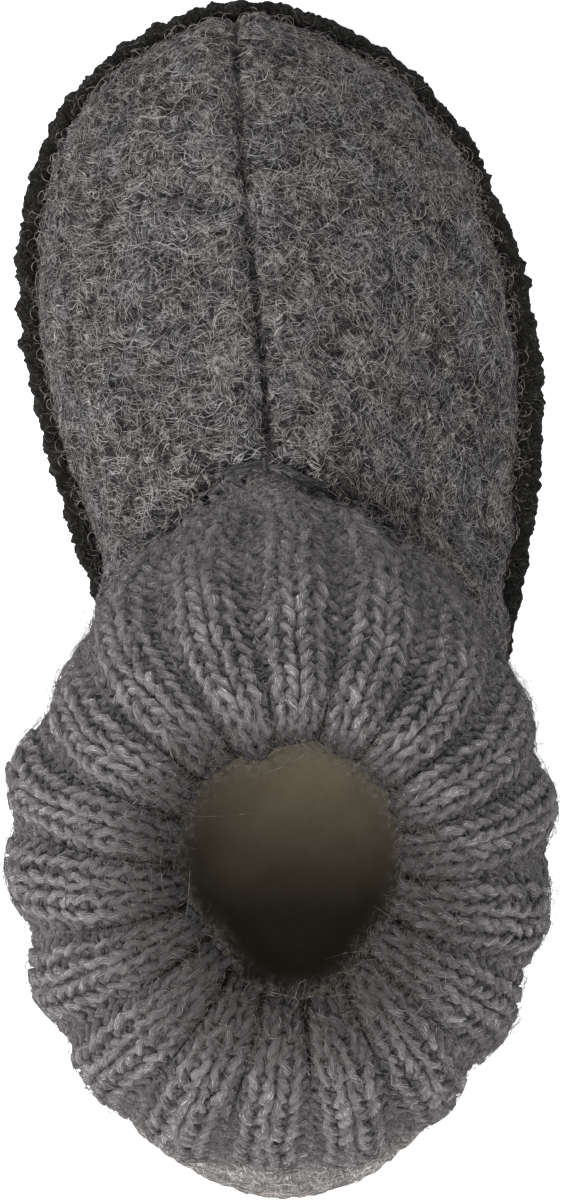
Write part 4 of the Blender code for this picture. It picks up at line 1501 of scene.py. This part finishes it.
def haze(name, rows, layer, rim, thick, cover):
    """One open layer of haze, with its number, how far it has turned in over the rim, which paints it
    darker and browner as shade, how much of the air between its fibres is filled, and its cover."""
    made = piece(name, rows, turned_faces(*rows.shape[:2])[:-rows.shape[1]])
    for label, values in (("Layer", layer), ("Rim", rim), ("Thick", thick), ("Cover", cover)):
        note(made, label, np.broadcast_to(values, rows.shape[:2]))
    made.data.materials.append(haze_finish)
    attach(made, "root")


haze_rows = slice(3, int(0.88 * len(knit_base)), 2)
haze_at = cloth_at[haze_rows][:, None]
groove = bell(np.abs(np.mod(cloth_columns[::3] + 1, 4) - 2) - 2, 0.60)
groove = groove * smooth(haze_at, 0.6 * bulge_reach, crest_reach)
fade = smooth(haze_at, haze_at[0] + 0.001, haze_at[0] + 0.012)
fade = fade * (1 - smooth(haze_at, haze_at[-1] - 0.004, haze_at[-1]))
for number, (off, cover, full) in enumerate(HAZE_LAYERS.values()):
    rows = (knit_base + knit_facing * off)[haze_rows, ::3]
    rim = turned_over(haze_at, rows[..., 0], rows[..., 1])
    cover = cover + GROOVE_COVER * full * groove + RIM_COVER * rim + INSTEP_COVER * instep(rows)
    haze(f"cuff_haze_{number + 1}", rows, number, rim, full * groove, cover * fade)

# The fringe over the mouth is painted all through with the rim's darker, browner shade.
fringe_angle = np.linspace(0, 2 * np.pi, FRINGE_COLUMNS + 1)[:-1]
lip = oval(CUFF_RINGS["lip"], fringe_angle)
fringe_way = unit(MOUTH_MIDDLE - lip * (1, 1, 0))
fringe_share = np.linspace(0, 1, FRINGE_STEPS)[:, None]
fringe = lip + fringe_way * (FRINGE_REACH * fringe_share - 0.0006)[..., None]
fringe[..., 2] += 0.0012 - 0.0016 * fringe_share
haze("mouth_fringe", fringe, 5.0, 1.0, 0.45 * (1 - fringe_share), (1 - fringe_share) ** 1.2)

# ---- Studio ---------------------------------------------------------------------------------------
# A white table, a large soft light overhead, a window to the left, a camera that looks straight down
# on the slipper, and a weak fill just above it.

TABLE_WIDTH = 40.0
CAMERA_HEIGHT = 0.560
CAMERA_ALONG = -0.0017
CAMERA_LENS = 77.6

table = piece("table", np.array([[-1, -1, 0], [1, -1, 0], [1, 1, 0], [-1, 1, 0]]) * TABLE_WIDTH / 2,
              np.array([[0, 1, 2, 3]]))


def white_board(place):
    """Matt white board with a very faint grain, lit through from below."""
    grain = place.noise(40.0, 2.0)
    return {
        "Base Color": grain.blend((0.90, 0.90, 0.90, 1), (0.92, 0.92, 0.92, 1)),
        "Roughness": grain * 0.05 + 0.9,
        "Specular IOR Level": 0.0,
        "Emission Color": (1.0, 1.0, 1.0, 1.0),
        "Emission Strength": 0.45,
    }


table.data.materials.append(finish("White board", white_board))


def soft_light(name, place, turn, size, power, colour):
    """Square area light at a place, turned by angles in degrees from pointing straight down."""
    lamp = bpy.data.lights.new(name, "AREA")
    lamp.size = size
    lamp.energy = power
    lamp.color = colour
    made = bpy.data.objects.new(name, lamp)
    made.location = place
    made.rotation_euler = np.radians(turn)
    bpy.context.scene.collection.objects.link(made)


soft_light("overhead", (-0.05, -0.31, 1.2), (-14, -2, 0), size=0.50, power=20,
           colour=(1.0, 0.985, 0.965))
soft_light("camera fill", (0.0, CAMERA_ALONG, 0.60), (0, 0, 0), size=0.08, power=0.215,
           colour=(1.0, 0.99, 0.98))
soft_light("left window", (-1.1, 0.05, 0.65), (0, -60, 0), size=0.7, power=12.5,
           colour=(1.0, 0.99, 0.98))

world = bpy.data.worlds.new("Pale room")
world.use_nodes = True
world.node_tree.nodes["Background"].inputs["Color"].default_value = (1.0, 1.0, 1.0, 1.0)
world.node_tree.nodes["Background"].inputs["Strength"].default_value = 0.55
bpy.context.scene.world = world
bpy.context.scene.view_settings.view_transform = "Standard"

lens = bpy.data.cameras.new("overhead view")
lens.lens = CAMERA_LENS
lens.sensor_width = 36.0
lens.clip_start = 0.01
camera = bpy.data.objects.new("overhead view", lens)
camera.location = (0.0, CAMERA_ALONG, CAMERA_HEIGHT)
bpy.context.scene.collection.objects.link(camera)
bpy.context.scene.camera = camera
